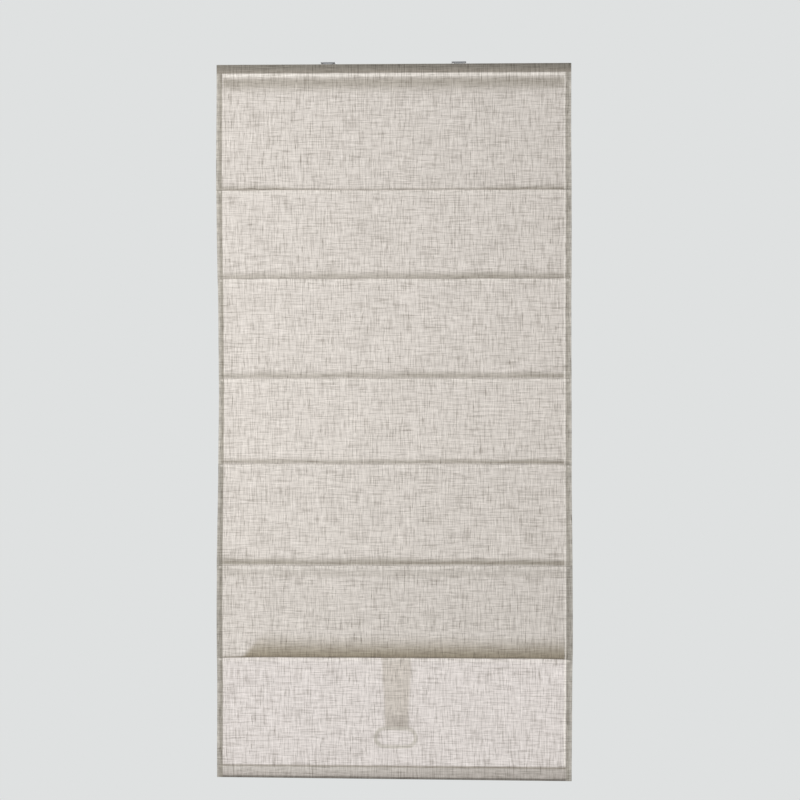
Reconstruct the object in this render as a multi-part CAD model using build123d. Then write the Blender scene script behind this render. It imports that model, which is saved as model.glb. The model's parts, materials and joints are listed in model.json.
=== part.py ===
from build123d import *
import os
from math import acos, atan2, cos, hypot, pi, sin

# Cordless roman blind for the inside of a window frame, in millimetres. The origin is at the centre of the brackets'
# top faces, which meet the window head. +Z is up, the room is at -Y, and +X is to the right seen from the room.
# A front fold is a seam that stays at the front of the stack, and a rib is a seam that the lift cords draw up.

# Cloth, with each drop measured down the front from one seam to the next
blind_width = 787.0
cloth = 0.6
side_hem_width = 13.0
top_panel_drop = 277.0
second_panel_drop = 196.0
third_panel_drop = 221.0
fourth_panel_drop = 190.0
fifth_panel_drop = 225.0
sixth_panel_drop = 205.0
bottom_panel_drop = 267.0

# Battens and the tucks of cloth that hold them
batten_height = 14.0
batten_thickness = 1.5
batten_clearance = 0.2
batten_end_inset = 6.0
pocket_height = 18.0
pocket_corner = 1.2

# Room between the layers that pass each other as the blind rises
layer_gap = 1.0
rib_stagger = 4.6
seam_gap = 0.1
hem_end_gap = 2.0

# Bottom hem and its weight
bottom_hem_height = 27.0
hem_rod_radius = 2.5
hem_rod_clearance = 0.15
rod_end_inset = 12.0
rod_bore_radius = 1.25
rod_bore_depth = 9.0
plug_spigot_radius = 1.2
plug_spigot_length = 8.0
plug_length = 6.0

# Headrail
rail_depth = 38.0
rail_height = 20.0
rail_wall = 1.0
rail_lip = 6.0
rail_corner = 1.3
rail_inner_corner = 0.3
rail_standoff = 5.0
rail_end_gap = 2.0
cloth_below_rail_top = 1.0
cap_plate = 2.0
cap_plug_length = 8.0
cap_plug_wall = 1.6
cap_clearance = 0.15
tape_height = 16.0
tape_thickness = 0.8
tape_below_rail_top = 2.0
tape_end_gap = 2.0

# Mounting brackets
bracket_spacing = 290.0
bracket_width = 32.0
bracket_depth = 32.0
bracket_steel = 1.2
bracket_web_width = 11.0
bracket_hook_reach = 4.0
bracket_clearance = 0.1
screw_spacing = 18.0
screw_hole_radius = 2.25

# Lift cords, their guides on the ribs and their stops
cord_diameter = 1.0
cord_inset = 143.5
cord_guide_reach = 5.0
cord_gap = 0.05
guide_width = 12.0
guide_height = 10.0
guide_base = 1.2
guide_web = 1.6
guide_bore_radius = 1.2
guide_eye_wall = 1.2
guide_eye_height = 5.0
guide_pin_radius = 1.2
guide_pin_clearance = 0.1
stop_radius = 3.0
stop_height = 8.0
stop_gap = 0.3
stop_bore_clearance = 0.05
bushing_radius = 3.0
bushing_flange_radius = 4.5
bushing_flange = 1.2
bushing_clearance = 0.05

# Drive shaft, cord spools and their cradles
shaft_flats = 4.0
shaft_height = 9.0
shaft_bore_clearance = 0.05
spool_radius = 6.0
spool_flange_radius = 7.6
spool_flange = 1.2
winding_length = 30.0
wrap_turns = 3
wrap_pitch = 1.1
journal_radius = 3.0
journal_clearance = 0.05
end_play = 0.3
cradle_wall = 2.0
cradle_base = 1.0
cradle_clearance = 0.3
collar_radius = 4.0
collar_width = 4.0

# Spring motor
drum_spacing = 15.0
drum_core_radius = 4.6
drum_flange_radius = 7.2
drum_flange = 1.0
spring_width = 12.0
spring_side_gap = 0.1
spring_coil_radius = 6.4
spring_core_gap = 0.05
spring_strip = 0.3
motor_floor = 1.0
motor_wall = 2.0
motor_cover_plate = 1.0
motor_screw_spacing_x = 27.0
motor_screw_spacing_y = 22.0
motor_post_radius = 2.7
motor_end_margin = 3.4
motor_screw_radius = 1.1
motor_screw_length = 8.0
motor_screw_head_radius = 1.9
motor_screw_head = 1.1
motor_screw_clearance = 0.1
pin_radius = 1.5
pin_seat_clearance = 0.02
pin_running_clearance = 0.06

# Pull strap and its oval handle
strap = 0.8
strap_top_width = 64.0
strap_end_width = 48.0
strap_drop = 158.0
strap_sewn_height = 14.0
strap_sewn_offset = 2.0
strap_loop_height = 29.0
strap_loop_clearance = 0.25
strap_back_gap = 0.35
strap_offset = 5.0
handle_width = 95.0
handle_height = 46.0
handle_bar_radius = 3.0

# Heights of the seams, from the top edge of the cloth to its bottom edge
rail_top = -rail_standoff
rail_floor = rail_top - rail_height + rail_wall
rail_ceiling = rail_top - rail_wall
cloth_top = rail_top - cloth_below_rail_top
seam_1 = cloth_top - top_panel_drop
seam_2 = seam_1 - second_panel_drop
seam_3 = seam_2 - third_panel_drop
seam_4 = seam_3 - fourth_panel_drop
seam_5 = seam_4 - fifth_panel_drop
seam_6 = seam_5 - sixth_panel_drop
cloth_bottom = seam_6 - bottom_panel_drop

# Front faces of the cloth, layer by layer from the room to the window
pocket_depth = 2 * cloth + batten_thickness + 2 * batten_clearance
layer_pitch = cloth + pocket_depth + layer_gap
fold_1_y = -rail_depth / 2 - 2 * tape_thickness - cloth
fold_2_y = fold_1_y + layer_pitch
fold_3_y = fold_2_y + layer_pitch
rib_3_y = fold_3_y + layer_pitch
rib_2_y = rib_3_y - rib_stagger
rib_1_y = rib_2_y - rib_stagger
behind_pocket = pocket_depth - cloth
bottom_y = rib_3_y + behind_pocket

# Cords, shaft and drums
cord_radius = cord_diameter / 2
cord_x = blind_width / 2 - cord_inset
cord_y = rib_3_y + pocket_depth + cord_guide_reach
shaft_y = cord_y - spool_radius - cord_gap - cord_radius
shaft_z = rail_floor + shaft_height
storage_y = shaft_y + drum_spacing
wrap_start = cord_x + cord_radius + cord_gap
wrap_end = wrap_start + wrap_turns * wrap_pitch
winding_start = cord_x - winding_length
cradle_outer = wrap_end + spool_flange + end_play
cradle_inner = winding_start - spool_flange - end_play
journal_outer = cradle_outer + cradle_wall + end_play
journal_inner = cradle_inner - cradle_wall - end_play
shaft_end = journal_outer + end_play + collar_width
rail_inner_half = rail_depth / 2 - rail_wall

# Handle and hem
hem_outer_radius = hem_rod_radius + hem_rod_clearance + cloth
hem_rod_y = bottom_y + hem_outer_radius
hem_rod_z = cloth_bottom + hem_outer_radius
strap_loop_radius = handle_bar_radius + strap_loop_clearance + strap
handle_y = bottom_y + cloth + strap_back_gap + strap_loop_radius
handle_z = seam_6 - strap_drop


def prism_x(face, x_start, x_end):
    """The solid that an outline drawn in Y and Z sweeps from x_start to x_end."""
    low, high = sorted((x_start, x_end))
    return extrude(Plane.YZ.offset(low) * face, amount=high - low)


def outline(*points):
    """A flat face through points given as (y, z), (x, z) or (x, y), facing the way its plane does."""
    following = points[1:] + points[:1]
    turning = sum(a[0] * b[1] - b[0] * a[1] for a, b in zip(points, following))
    return Polygon(*(points if turning > 0 else points[::-1]), align=None)


def block(x_span, y_span, z_span):
    """A box between the two ends given along each axis."""
    size = [abs(span[1] - span[0]) for span in (x_span, y_span, z_span)]
    middle = [(span[0] + span[1]) / 2 for span in (x_span, y_span, z_span)]
    return Pos(*middle) * Box(*size)


def rod_x(radius, x_start, x_end, y, z):
    """A round bar along X."""
    return prism_x(Pos(y, z) * Circle(radius), x_start, x_end)


def rod_y(radius, y_start, y_end, x, z):
    """A round bar along Y."""
    low, high = sorted((y_start, y_end))
    middle = (low + high) / 2
    return Pos(x, middle, z) * Rot(90, 0, 0) * Cylinder(radius, high - low)


def rod_z(radius, z_start, z_end, x, y):
    """A round bar along Z."""
    low, high = sorted((z_start, z_end))
    return Pos(x, y, low) * extrude(Circle(radius), amount=high - low)


def mirrored_span(side, near, far):
    """Two distances from the middle of the blind, as X values on the given side."""
    return (side * near, side * far)


def point_round(centre, radius, angle):
    """The point on a circle at an angle from +Y."""
    return (centre[0] + radius * cos(angle), centre[1] + radius * sin(angle))


def touch_points(radius, centre, apex):
    """Where the two straight sides from an apex touch a circle, with the circle's far point between them."""
    distance = hypot(apex[0] - centre[0], apex[1] - centre[1])
    heading = atan2(apex[1] - centre[1], apex[0] - centre[0])
    spread = acos(radius / distance)
    return [point_round(centre, radius, heading + turn) for turn in (spread, pi, -spread)]


def teardrop(radius, centre, apex):
    """Outline of a round loop that narrows to a point."""
    first, far, last = touch_points(radius, centre, apex)
    return make_face([Line(apex, first), ThreePointArc(first, far, last), Line(last, apex)])


def loop_hollow(inner_radius, thickness, centre, apex):
    """Outline of the room inside cloth that turns round a bar and meets itself again at the apex."""
    share = inner_radius / (inner_radius + thickness)
    inner_apex = tuple(c + (a - c) * share for c, a in zip(centre, apex))
    return teardrop(inner_radius, centre, inner_apex)


def hanging_strip(top, bottom):
    """Outline of one thickness of cloth between the front points at its top and its bottom."""
    return outline(top, (top[0] + cloth, top[1]), (bottom[0] + cloth, bottom[1]), bottom)


def point_between(top, bottom, height):
    """The point at a given height on the line from top to bottom."""
    share = (top[1] - height) / (top[1] - bottom[1])
    return (top[0] + (bottom[0] - top[0]) * share, height)


def side_hems(top, bottom, upper, lower):
    """The folded edges behind a strip of cloth, between two heights."""
    front = [point_between(top, bottom, height) for height in (upper, lower)]
    behind = [(point[0] + cloth, point[1]) for point in front]
    half = blind_width / 2
    strips = [
        prism_x(hanging_strip(*behind), *mirrored_span(side, half - side_hem_width, half))
        for side in (-1, 1)
    ]
    return strips[0] + strips[1]


def pocket(front_y, seam):
    """Outline of the tuck that holds a batten: a closed loop of cloth that stands up from its seam."""
    place = Pos(front_y + pocket_depth / 2, seam + pocket_height / 2)
    outer = place * RectangleRounded(pocket_depth, pocket_height, pocket_corner)
    hollow = place * RectangleRounded(
        pocket_depth - 2 * cloth, pocket_height - 2 * cloth, pocket_corner - cloth
    )
    return outer - hollow


def full_width(face):
    """An outline swept over the whole width of the cloth."""
    return prism_x(face, -blind_width / 2, blind_width / 2)


def top_panel():
    """The fixed panel at the headrail, with the first front fold at its lower end."""
    top, bottom = (fold_1_y, cloth_top), (fold_1_y, seam_1)
    hems = side_hems(top, bottom, cloth_top, seam_1 + pocket_height)
    return full_width(hanging_strip(top, bottom) + pocket(fold_1_y + cloth, seam_1)) + hems


def rib_panel(rib_y, rib_seam, fold_y, fold_seam):
    """A panel that hangs from a rib and ends in a front fold: the rib's tuck, the cloth and the fold's tuck."""
    top, bottom = (rib_y + behind_pocket, rib_seam + pocket_corner), (fold_y, fold_seam)
    hems = side_hems(top, bottom, rib_seam + cloth / 2, fold_seam + pocket_height)
    section = hanging_strip(top, bottom) + pocket(rib_y, rib_seam) + pocket(fold_y + cloth, fold_seam)
    return full_width(section) + hems - guide_pin_holes(rib_y, rib_seam)


def folding_panel(fold_y, fold_seam, rib_y, rib_seam):
    """A panel that turns over as the blind rises, from behind a front fold's tuck to the front of the next rib's."""
    top = (fold_y + cloth + behind_pocket, fold_seam)
    bottom = (rib_y - cloth - seam_gap, rib_seam)
    hems = side_hems(top, bottom, fold_seam, rib_seam + pocket_height + hem_end_gap)
    return full_width(hanging_strip(top, bottom)) + hems


def bottom_panel():
    """The panel under the last rib, down to the hem that holds the weight."""
    top, bottom = (bottom_y, seam_6 + pocket_corner), (bottom_y, hem_rod_z)
    centre, apex = (hem_rod_y, hem_rod_z), (bottom_y, cloth_bottom + bottom_hem_height)
    under, behind = touch_points(hem_outer_radius, centre, apex)[1:]
    share = cloth / (behind[0] - apex[0])
    meeting = (apex[0] + cloth, apex[1] + (behind[1] - apex[1]) * share)
    upper = [Line(bottom, top), Line(top, (top[0] + cloth, top[1])), Line((top[0] + cloth, top[1]), meeting)]
    folded = make_face([*upper, Line(meeting, behind), ThreePointArc(behind, under, bottom)])
    hollow = loop_hollow(hem_rod_radius + hem_rod_clearance, cloth, centre, apex)
    hems = side_hems(top, bottom, seam_6 + cloth / 2, apex[1] + hem_end_gap)
    section = folded - hollow + pocket(rib_3_y, seam_6)
    return full_width(section) + hems - guide_pin_holes(rib_3_y, seam_6)


def batten(pocket_front_y, seam):
    """A flat batten on the floor of its pocket."""
    half = blind_width / 2 - batten_end_inset
    front = pocket_front_y + cloth + batten_clearance
    foot = seam + cloth + batten_clearance
    return block((-half, half), (front, front + batten_thickness), (foot, foot + batten_height))


def rib_batten(rib_y, seam):
    """A batten with the bores that take the cord guides' pins."""
    return batten(rib_y, seam) - guide_pin_holes(rib_y, seam)


def guide_middle(seam):
    """Height of a cord guide on the rib at the given seam."""
    return seam + pocket_height / 2


def guide_pin_holes(rib_y, seam):
    """The bores for two guide pins, through the back of a pocket and its batten."""
    radius = guide_pin_radius + guide_pin_clearance
    front = rib_y + cloth + batten_clearance / 2
    behind = rib_y + pocket_depth + guide_pin_clearance
    holes = [rod_y(radius, front, behind, side * cord_x, guide_middle(seam)) for side in (-1, 1)]
    return holes[0] + holes[1]


def cord_guide(side, rib_y, seam):
    """A moulded eye for the lift cord, pinned through the pocket into the batten."""
    x, middle = side * cord_x, guide_middle(seam)
    seat = rib_y + pocket_depth
    tip = rib_y + cloth + batten_clearance
    base = block(
        (x - guide_width / 2, x + guide_width / 2),
        (seat, seat + guide_base),
        (middle - guide_height / 2, middle + guide_height / 2),
    )
    eye_span = (middle - guide_eye_height / 2, middle + guide_eye_height / 2)
    eye = rod_z(guide_bore_radius + guide_eye_wall, *eye_span, x, cord_y)
    web = block((x - guide_web / 2, x + guide_web / 2), (seat, cord_y), eye_span)
    pin = rod_y(guide_pin_radius, tip, seat + guide_base, x, middle)
    return base + eye + web + pin - rod_z(guide_bore_radius, *eye_span, x, cord_y)


def cord_stop_span():
    """Top and foot of the stops under the guides of the last rib."""
    top = guide_middle(seam_6) - guide_eye_height / 2 - stop_gap
    return (top, top - stop_height)


def cord_stop(side):
    """The bead that the end of a lift cord is knotted in."""
    top, foot = cord_stop_span()
    bead = rod_z(stop_radius, foot, top, side * cord_x, cord_y)
    bead = fillet(bead.edges().filter_by(GeomType.CIRCLE), stop_radius / 3)
    return bead - rod_z(cord_radius + stop_bore_clearance, foot, top, side * cord_x, cord_y)


def lift_cord(side):
    """The straight run of a cord, from where it leaves its spool to the foot of its stop."""
    return rod_z(cord_radius, shaft_z, cord_stop_span()[1], side * cord_x, cord_y)


def cord_wrap(side):
    """The turns of cord that stay on a spool when the blind is down."""
    outer = Circle(spool_radius + cord_diameter)
    ring = Pos(shaft_y, shaft_z) * (outer - Circle(spool_radius))
    return prism_x(ring, *mirrored_span(side, wrap_start, wrap_end))


def rail_outline(inset, corner):
    """The outline of the headrail, moved inwards by the given distance."""
    middle = Pos(0, rail_top - rail_height / 2)
    return middle * RectangleRounded(rail_depth - 2 * inset, rail_height - 2 * inset, corner)


def headrail_channel():
    """The folded channel, open at the top between two lips, with a hole for each cord's bushing."""
    half = blind_width / 2 - rail_end_gap - cap_plate
    mouth = rail_inner_half + rail_wall - rail_lip
    slot = outline(
        (-mouth, rail_ceiling - rail_wall), (mouth, rail_ceiling - rail_wall),
        (mouth, rail_top + rail_wall), (-mouth, rail_top + rail_wall),
    )
    folded = rail_outline(0, rail_corner) - rail_outline(rail_wall, rail_inner_corner)
    rail = prism_x(folded - slot, -half, half)
    for side in (-1, 1):
        radius = bushing_radius + bushing_clearance
        rail -= rod_z(radius, rail_floor - 2 * rail_wall, rail_floor + rail_wall, side * cord_x, cord_y)
    return rail


def end_cap(side):
    """A moulded cap: a plate over the channel's end and a hollow plug inside it."""
    plate_end = blind_width / 2 - rail_end_gap
    plate_start = plate_end - cap_plate
    plate = prism_x(rail_outline(0, rail_corner), *mirrored_span(side, plate_start, plate_end))
    seat = rail_wall + cap_clearance
    sleeve = rail_outline(seat, rail_inner_corner) - rail_outline(seat + cap_plug_wall, rail_inner_corner)
    plug = prism_x(sleeve, *mirrored_span(side, plate_start - cap_plug_length, plate_start))
    return plate + plug


def fastening_tape(back_y):
    """One half of the hook-and-loop tape along the headrail's face."""
    half = blind_width / 2 - side_hem_width - tape_end_gap
    top = rail_top - tape_below_rail_top
    return block((-half, half), (back_y - tape_thickness, back_y), (top - tape_height, top))


def bracket(side):
    """A stamped bracket: a plate under the window head, and two tapered webs with hooks under the rail's lips."""
    x = side * bracket_spacing / 2
    hook_top = rail_ceiling - bracket_clearance
    hook_foot = hook_top - bracket_steel
    web_face = rail_inner_half + rail_wall - rail_lip - bracket_clearance
    half, waist = bracket_width / 2, bracket_web_width / 2
    web = outline(
        (-half, 0), (half, 0), (waist, rail_top), (waist, hook_foot), (-waist, hook_foot), (-waist, rail_top)
    )
    piece = block((x - half, x + half), (-bracket_depth / 2, bracket_depth / 2), (-bracket_steel, 0))
    for face in (-1, 1):
        sheet = extrude(Plane.XZ * web, amount=bracket_steel)
        middle = face * (web_face - bracket_steel / 2) + bracket_steel / 2
        piece += Pos(x, middle, 0) * sheet
        hook = sorted((face * (web_face - bracket_steel), face * (web_face + bracket_hook_reach)))
        piece += block((x - waist, x + waist), hook, (hook_foot, hook_top))
    for y in (-screw_spacing / 2, screw_spacing / 2):
        piece -= rod_z(screw_hole_radius, -2 * bracket_steel, bracket_steel, x, y)
    return piece


def cord_bushing(side):
    """The flanged eye that carries a cord through the headrail's floor."""
    x, under = side * cord_x, rail_floor - rail_wall
    body = rod_z(bushing_radius, under, rail_floor, x, cord_y)
    flange = rod_z(bushing_flange_radius, under - bushing_flange, under, x, cord_y)
    return body + flange - rod_z(guide_bore_radius, under - bushing_flange, rail_floor, x, cord_y)


def cradle(side):
    """The U-shaped carrier of a spool, held in the channel under its lips."""
    half, top = rail_inner_half - cradle_clearance, rail_ceiling - cradle_clearance
    ends = (cradle_inner - cradle_wall, cradle_outer + cradle_wall)
    piece = block(mirrored_span(side, *ends), (-half, half), (rail_floor, rail_floor + cradle_base))
    for wall in ((ends[0], cradle_inner), (cradle_outer, ends[1])):
        piece += block(mirrored_span(side, *wall), (-half, half), (rail_floor, top))
    piece -= rod_x(journal_radius + journal_clearance, *mirrored_span(side, *ends), shaft_y, shaft_z)
    return piece - rod_z(guide_bore_radius, rail_floor, rail_floor + cradle_base, side * cord_x, cord_y)


def hexagon(flats):
    """A hexagon with the given distance over its flats, at the shaft's place."""
    return Pos(shaft_y, shaft_z) * RegularPolygon(flats / 2, 6, major_radius=False)


def shaft_bore(x_start, x_end):
    """The hexagonal hole for the shaft."""
    return prism_x(hexagon(shaft_flats + 2 * shaft_bore_clearance), x_start, x_end)


def drive_shaft():
    """The hexagonal shaft that joins the spring motor to both spools."""
    return prism_x(hexagon(shaft_flats), -shaft_end, shaft_end)


def spool(side):
    """A flanged spool with a journal at each end."""
    drum = rod_x(spool_radius, *mirrored_span(side, winding_start, wrap_end), shaft_y, shaft_z)
    for flange in ((winding_start - spool_flange, winding_start), (wrap_end, wrap_end + spool_flange)):
        drum += rod_x(spool_flange_radius, *mirrored_span(side, *flange), shaft_y, shaft_z)
    journal = mirrored_span(side, journal_inner, journal_outer)
    drum += rod_x(journal_radius, *journal, shaft_y, shaft_z)
    return drum - shaft_bore(*journal)


def shaft_collar(side):
    """A collar that keeps the shaft from sliding along."""
    ends = mirrored_span(side, shaft_end - collar_width, shaft_end)
    return rod_x(collar_radius, *ends, shaft_y, shaft_z) - shaft_bore(*ends)


motor_drum_half = spring_width / 2 + spring_side_gap + drum_flange
motor_wall_inner = motor_drum_half + end_play
motor_wall_outer = motor_wall_inner + motor_wall
motor_cover_top = rail_ceiling - cradle_clearance
motor_cover_under = motor_cover_top - motor_cover_plate
motor_half_length = motor_screw_spacing_x / 2 + motor_end_margin


def spring_drum(y):
    """The flanged core that one end of the spring winds on."""
    side_face = motor_drum_half - drum_flange
    drum = rod_x(drum_core_radius, -side_face, side_face, y, shaft_z)
    for side in (-1, 1):
        ends = mirrored_span(side, side_face, motor_drum_half)
        drum += rod_x(drum_flange_radius, *ends, y, shaft_z)
    return drum


def output_drum():
    """The drum on the drive shaft that the spring pulls round as the blind is let up."""
    reach = motor_wall_outer + end_play
    drum = spring_drum(shaft_y) + rod_x(journal_radius, -reach, reach, shaft_y, shaft_z)
    return drum - shaft_bore(-reach, reach)


def storage_drum():
    """The drum that the spring coils back onto."""
    bore = rod_x(pin_radius + pin_running_clearance, -motor_wall_inner, motor_wall_inner, storage_y, shaft_z)
    return spring_drum(storage_y) - bore


def storage_pin():
    """The fixed pin that the storage drum turns on."""
    return rod_x(pin_radius, -motor_wall_outer, motor_wall_outer, storage_y, shaft_z)


def balance_spring():
    """The constant-force strip: a coil on each drum and the run between them, under both."""
    half = spring_width / 2
    coil = Circle(spring_coil_radius) - Circle(drum_core_radius + spring_core_gap)
    spring = prism_x(Pos(shaft_y, shaft_z) * coil, -half, half)
    spring += prism_x(Pos(storage_y, shaft_z) * coil, -half, half)
    under = shaft_z - spring_coil_radius
    return spring + block((-half, half), (shaft_y, storage_y), (under, under + spring_strip))


def motor_screw_places():
    """The places of the motor cover's screws, as (x, y)."""
    return [
        (i * motor_screw_spacing_x / 2, j * motor_screw_spacing_y / 2) for i in (-1, 1) for j in (-1, 1)
    ]


def motor_base():
    """The tray of the spring motor: a floor, two bearing walls and four screw posts."""
    half_depth = rail_inner_half - cradle_clearance
    x_span, y_span = (-motor_half_length, motor_half_length), (-half_depth, half_depth)
    base = block(x_span, y_span, (rail_floor, rail_floor + motor_floor))
    for side in (-1, 1):
        wall = mirrored_span(side, motor_wall_inner, motor_wall_outer)
        base += block(wall, y_span, (rail_floor, motor_cover_under))
    for x, y in motor_screw_places():
        base += rod_z(motor_post_radius, rail_floor, motor_cover_under, x, y)
    for x, y in motor_screw_places():
        bore_foot = motor_cover_top - motor_screw_length - motor_screw_clearance
        base -= rod_z(motor_screw_radius, bore_foot, motor_cover_under, x, y)
    base -= rod_x(
        journal_radius + journal_clearance, -motor_wall_outer, motor_wall_outer, shaft_y, shaft_z
    )
    return base - rod_x(
        pin_radius + pin_seat_clearance, -motor_wall_outer, motor_wall_outer, storage_y, shaft_z
    )


def motor_cover():
    """The lid of the spring motor."""
    half_depth = rail_inner_half - cradle_clearance
    cover = block(
        (-motor_half_length, motor_half_length), (-half_depth, half_depth), (motor_cover_under, motor_cover_top)
    )
    for x, y in motor_screw_places():
        radius = motor_screw_radius + motor_screw_clearance
        cover -= rod_z(radius, motor_cover_under, motor_cover_top, x, y)
    return cover


def motor_screws():
    """Four pan-head screws with a cross slot, from the cover into the posts."""
    screws = []
    for x, y in motor_screw_places():
        head_top = motor_cover_top + motor_screw_head
        shank = rod_z(motor_screw_radius, motor_cover_top - motor_screw_length, head_top, x, y)
        screw = shank + rod_z(motor_screw_head_radius, motor_cover_top, head_top, x, y)
        slot_long, slot_short = motor_screw_head_radius * 0.7, motor_screw_radius * 0.3
        slot_span = (head_top - motor_screw_head / 2, head_top)
        screw -= block((x - slot_long, x + slot_long), (y - slot_short, y + slot_short), slot_span)
        screw -= block((x - slot_short, x + slot_short), (y - slot_long, y + slot_long), slot_span)
        screws.append(screw)
    return Compound(children=screws)


def hem_rod():
    """The steel weight in the bottom hem, bored at both ends for its plugs."""
    end = blind_width / 2 - rod_end_inset
    rod = rod_x(hem_rod_radius, -end, end, hem_rod_y, hem_rod_z)
    for side in (-1, 1):
        bore = mirrored_span(side, end - rod_bore_depth, end)
        rod -= rod_x(rod_bore_radius, *bore, hem_rod_y, hem_rod_z)
    return rod


def rod_plug(side):
    """The moulded plug at one end of the hem's weight."""
    start = blind_width / 2 - rod_end_inset
    head = mirrored_span(side, start, start + plug_length)
    spigot = mirrored_span(side, start - plug_spigot_length, start)
    plug = rod_x(hem_rod_radius, *head, hem_rod_y, hem_rod_z)
    return plug + rod_x(plug_spigot_radius, *spigot, hem_rod_y, hem_rod_z)


def pull_strap():
    """The cloth strap behind the bottom panel: sewn to the last rib, tapered, and looped round the handle's bar."""
    seat = rib_3_y + pocket_depth
    sewn_foot = seam_6 + strap_sewn_offset
    apex = (handle_y, handle_z + strap_loop_height)
    loop = teardrop(strap_loop_radius, (handle_y, handle_z), apex)
    hollow = loop_hollow(strap_loop_radius - strap, strap, (handle_y, handle_z), apex)
    tail = outline(
        (seat, sewn_foot + strap_sewn_height), (seat + strap, sewn_foot + strap_sewn_height),
        (seat + strap, sewn_foot), (apex[0] + strap / 2, apex[1] - strap),
        (apex[0] - strap / 2, apex[1] - strap), (seat, sewn_foot),
    )
    half = strap_top_width / 2
    strip = prism_x(tail + loop - hollow, -half, half)
    waist = strap_end_width / 2
    foot = handle_z - 2 * strap_loop_radius
    top = sewn_foot + strap_sewn_height
    taper = outline(
        (-half, top), (half, top), (half, sewn_foot), (waist, apex[1]), (waist, foot), (-waist, foot),
        (-waist, apex[1]), (-half, sewn_foot),
    )
    reach = rail_depth
    shape = Pos(0, reach, 0) * extrude(Plane.XZ * taper, amount=2 * reach)
    return Pos(strap_offset, 0, 0) * (strip & shape)


def pull_handle():
    """The oval ring: two straight bars joined by half circles."""
    bend = handle_height / 2 - handle_bar_radius
    half = handle_width / 2 - handle_bar_radius - bend
    middle_z = handle_z - bend
    bar = Circle(handle_bar_radius)
    ring = prism_x(Pos(handle_y, handle_z) * bar, -half, half)
    ring += prism_x(Pos(handle_y, handle_z - 2 * bend) * bar, -half, half)
    for side in (-1, 1):
        section = Pos(side * half, handle_y, handle_z) * (Plane.YZ * bar)
        axis = Axis((side * half, handle_y, middle_z), (0, side, 0))
        ring += revolve(section, axis, 180)
    return Pos(strap_offset, 0, 0) * ring


sides = {"left": -1, "right": 1}
folds = {1: (fold_1_y, seam_1), 3: (fold_2_y, seam_3), 5: (fold_3_y, seam_5)}
ribs = {2: (rib_1_y, seam_2), 4: (rib_2_y, seam_4), 6: (rib_3_y, seam_6)}

nodes = {
    "headrail_channel": headrail_channel(),
    "hook_tape": fastening_tape(-rail_depth / 2),
    "loop_tape": fastening_tape(-rail_depth / 2 - tape_thickness),
    "drive_shaft": drive_shaft(),
    "output_drum": output_drum(),
    "storage_drum": storage_drum(),
    "storage_pin": storage_pin(),
    "balance_spring": balance_spring(),
    "motor_base": motor_base(),
    "motor_cover": motor_cover(),
    "motor_screws": motor_screws(),
    "shade_panel_1": top_panel(),
    "shade_panel_7": bottom_panel(),
    "hem_rod": hem_rod(),
    "pull_strap": pull_strap(),
    "pull_handle": pull_handle(),
}
for seam in (2, 4):
    nodes[f"shade_panel_{seam}"] = folding_panel(*folds[seam - 1], *ribs[seam])
    nodes[f"shade_panel_{seam + 1}"] = rib_panel(*ribs[seam], *folds[seam + 1])
nodes["shade_panel_6"] = folding_panel(*folds[5], *ribs[6])
for seam, (front, height) in folds.items():
    nodes[f"batten_{seam}"] = batten(front + cloth, height)
for seam, (front, height) in ribs.items():
    nodes[f"batten_{seam}"] = rib_batten(front, height)
for name, side in sides.items():
    nodes[f"end_cap_{name}"] = end_cap(side)
    nodes[f"bracket_{name}"] = bracket(side)
    nodes[f"cord_bushing_{name}"] = cord_bushing(side)
    nodes[f"cradle_{name}"] = cradle(side)
    nodes[f"spool_{name}"] = spool(side)
    nodes[f"cord_wrap_{name}"] = cord_wrap(side)
    nodes[f"shaft_collar_{name}"] = shaft_collar(side)
    nodes[f"lift_cord_{name}"] = lift_cord(side)
    nodes[f"cord_stop_{name}"] = cord_stop(side)
    nodes[f"rod_plug_{name}"] = rod_plug(side)
    for seam, (front, height) in ribs.items():
        nodes[f"cord_guide_{seam}_{name}"] = cord_guide(side, front, height)

os.makedirs("parts", exist_ok=True)
for name, shape in nodes.items():
    export_step(shape, f"parts/{name}.step")
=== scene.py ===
import json
import logging
from dataclasses import dataclass
from enum import Enum
from math import cos, hypot, pi, radians, sin

import bpy
from bpy.types import Material, NodeSocket as Socket, NodeTree, Object
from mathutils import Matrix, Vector, noise

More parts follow.
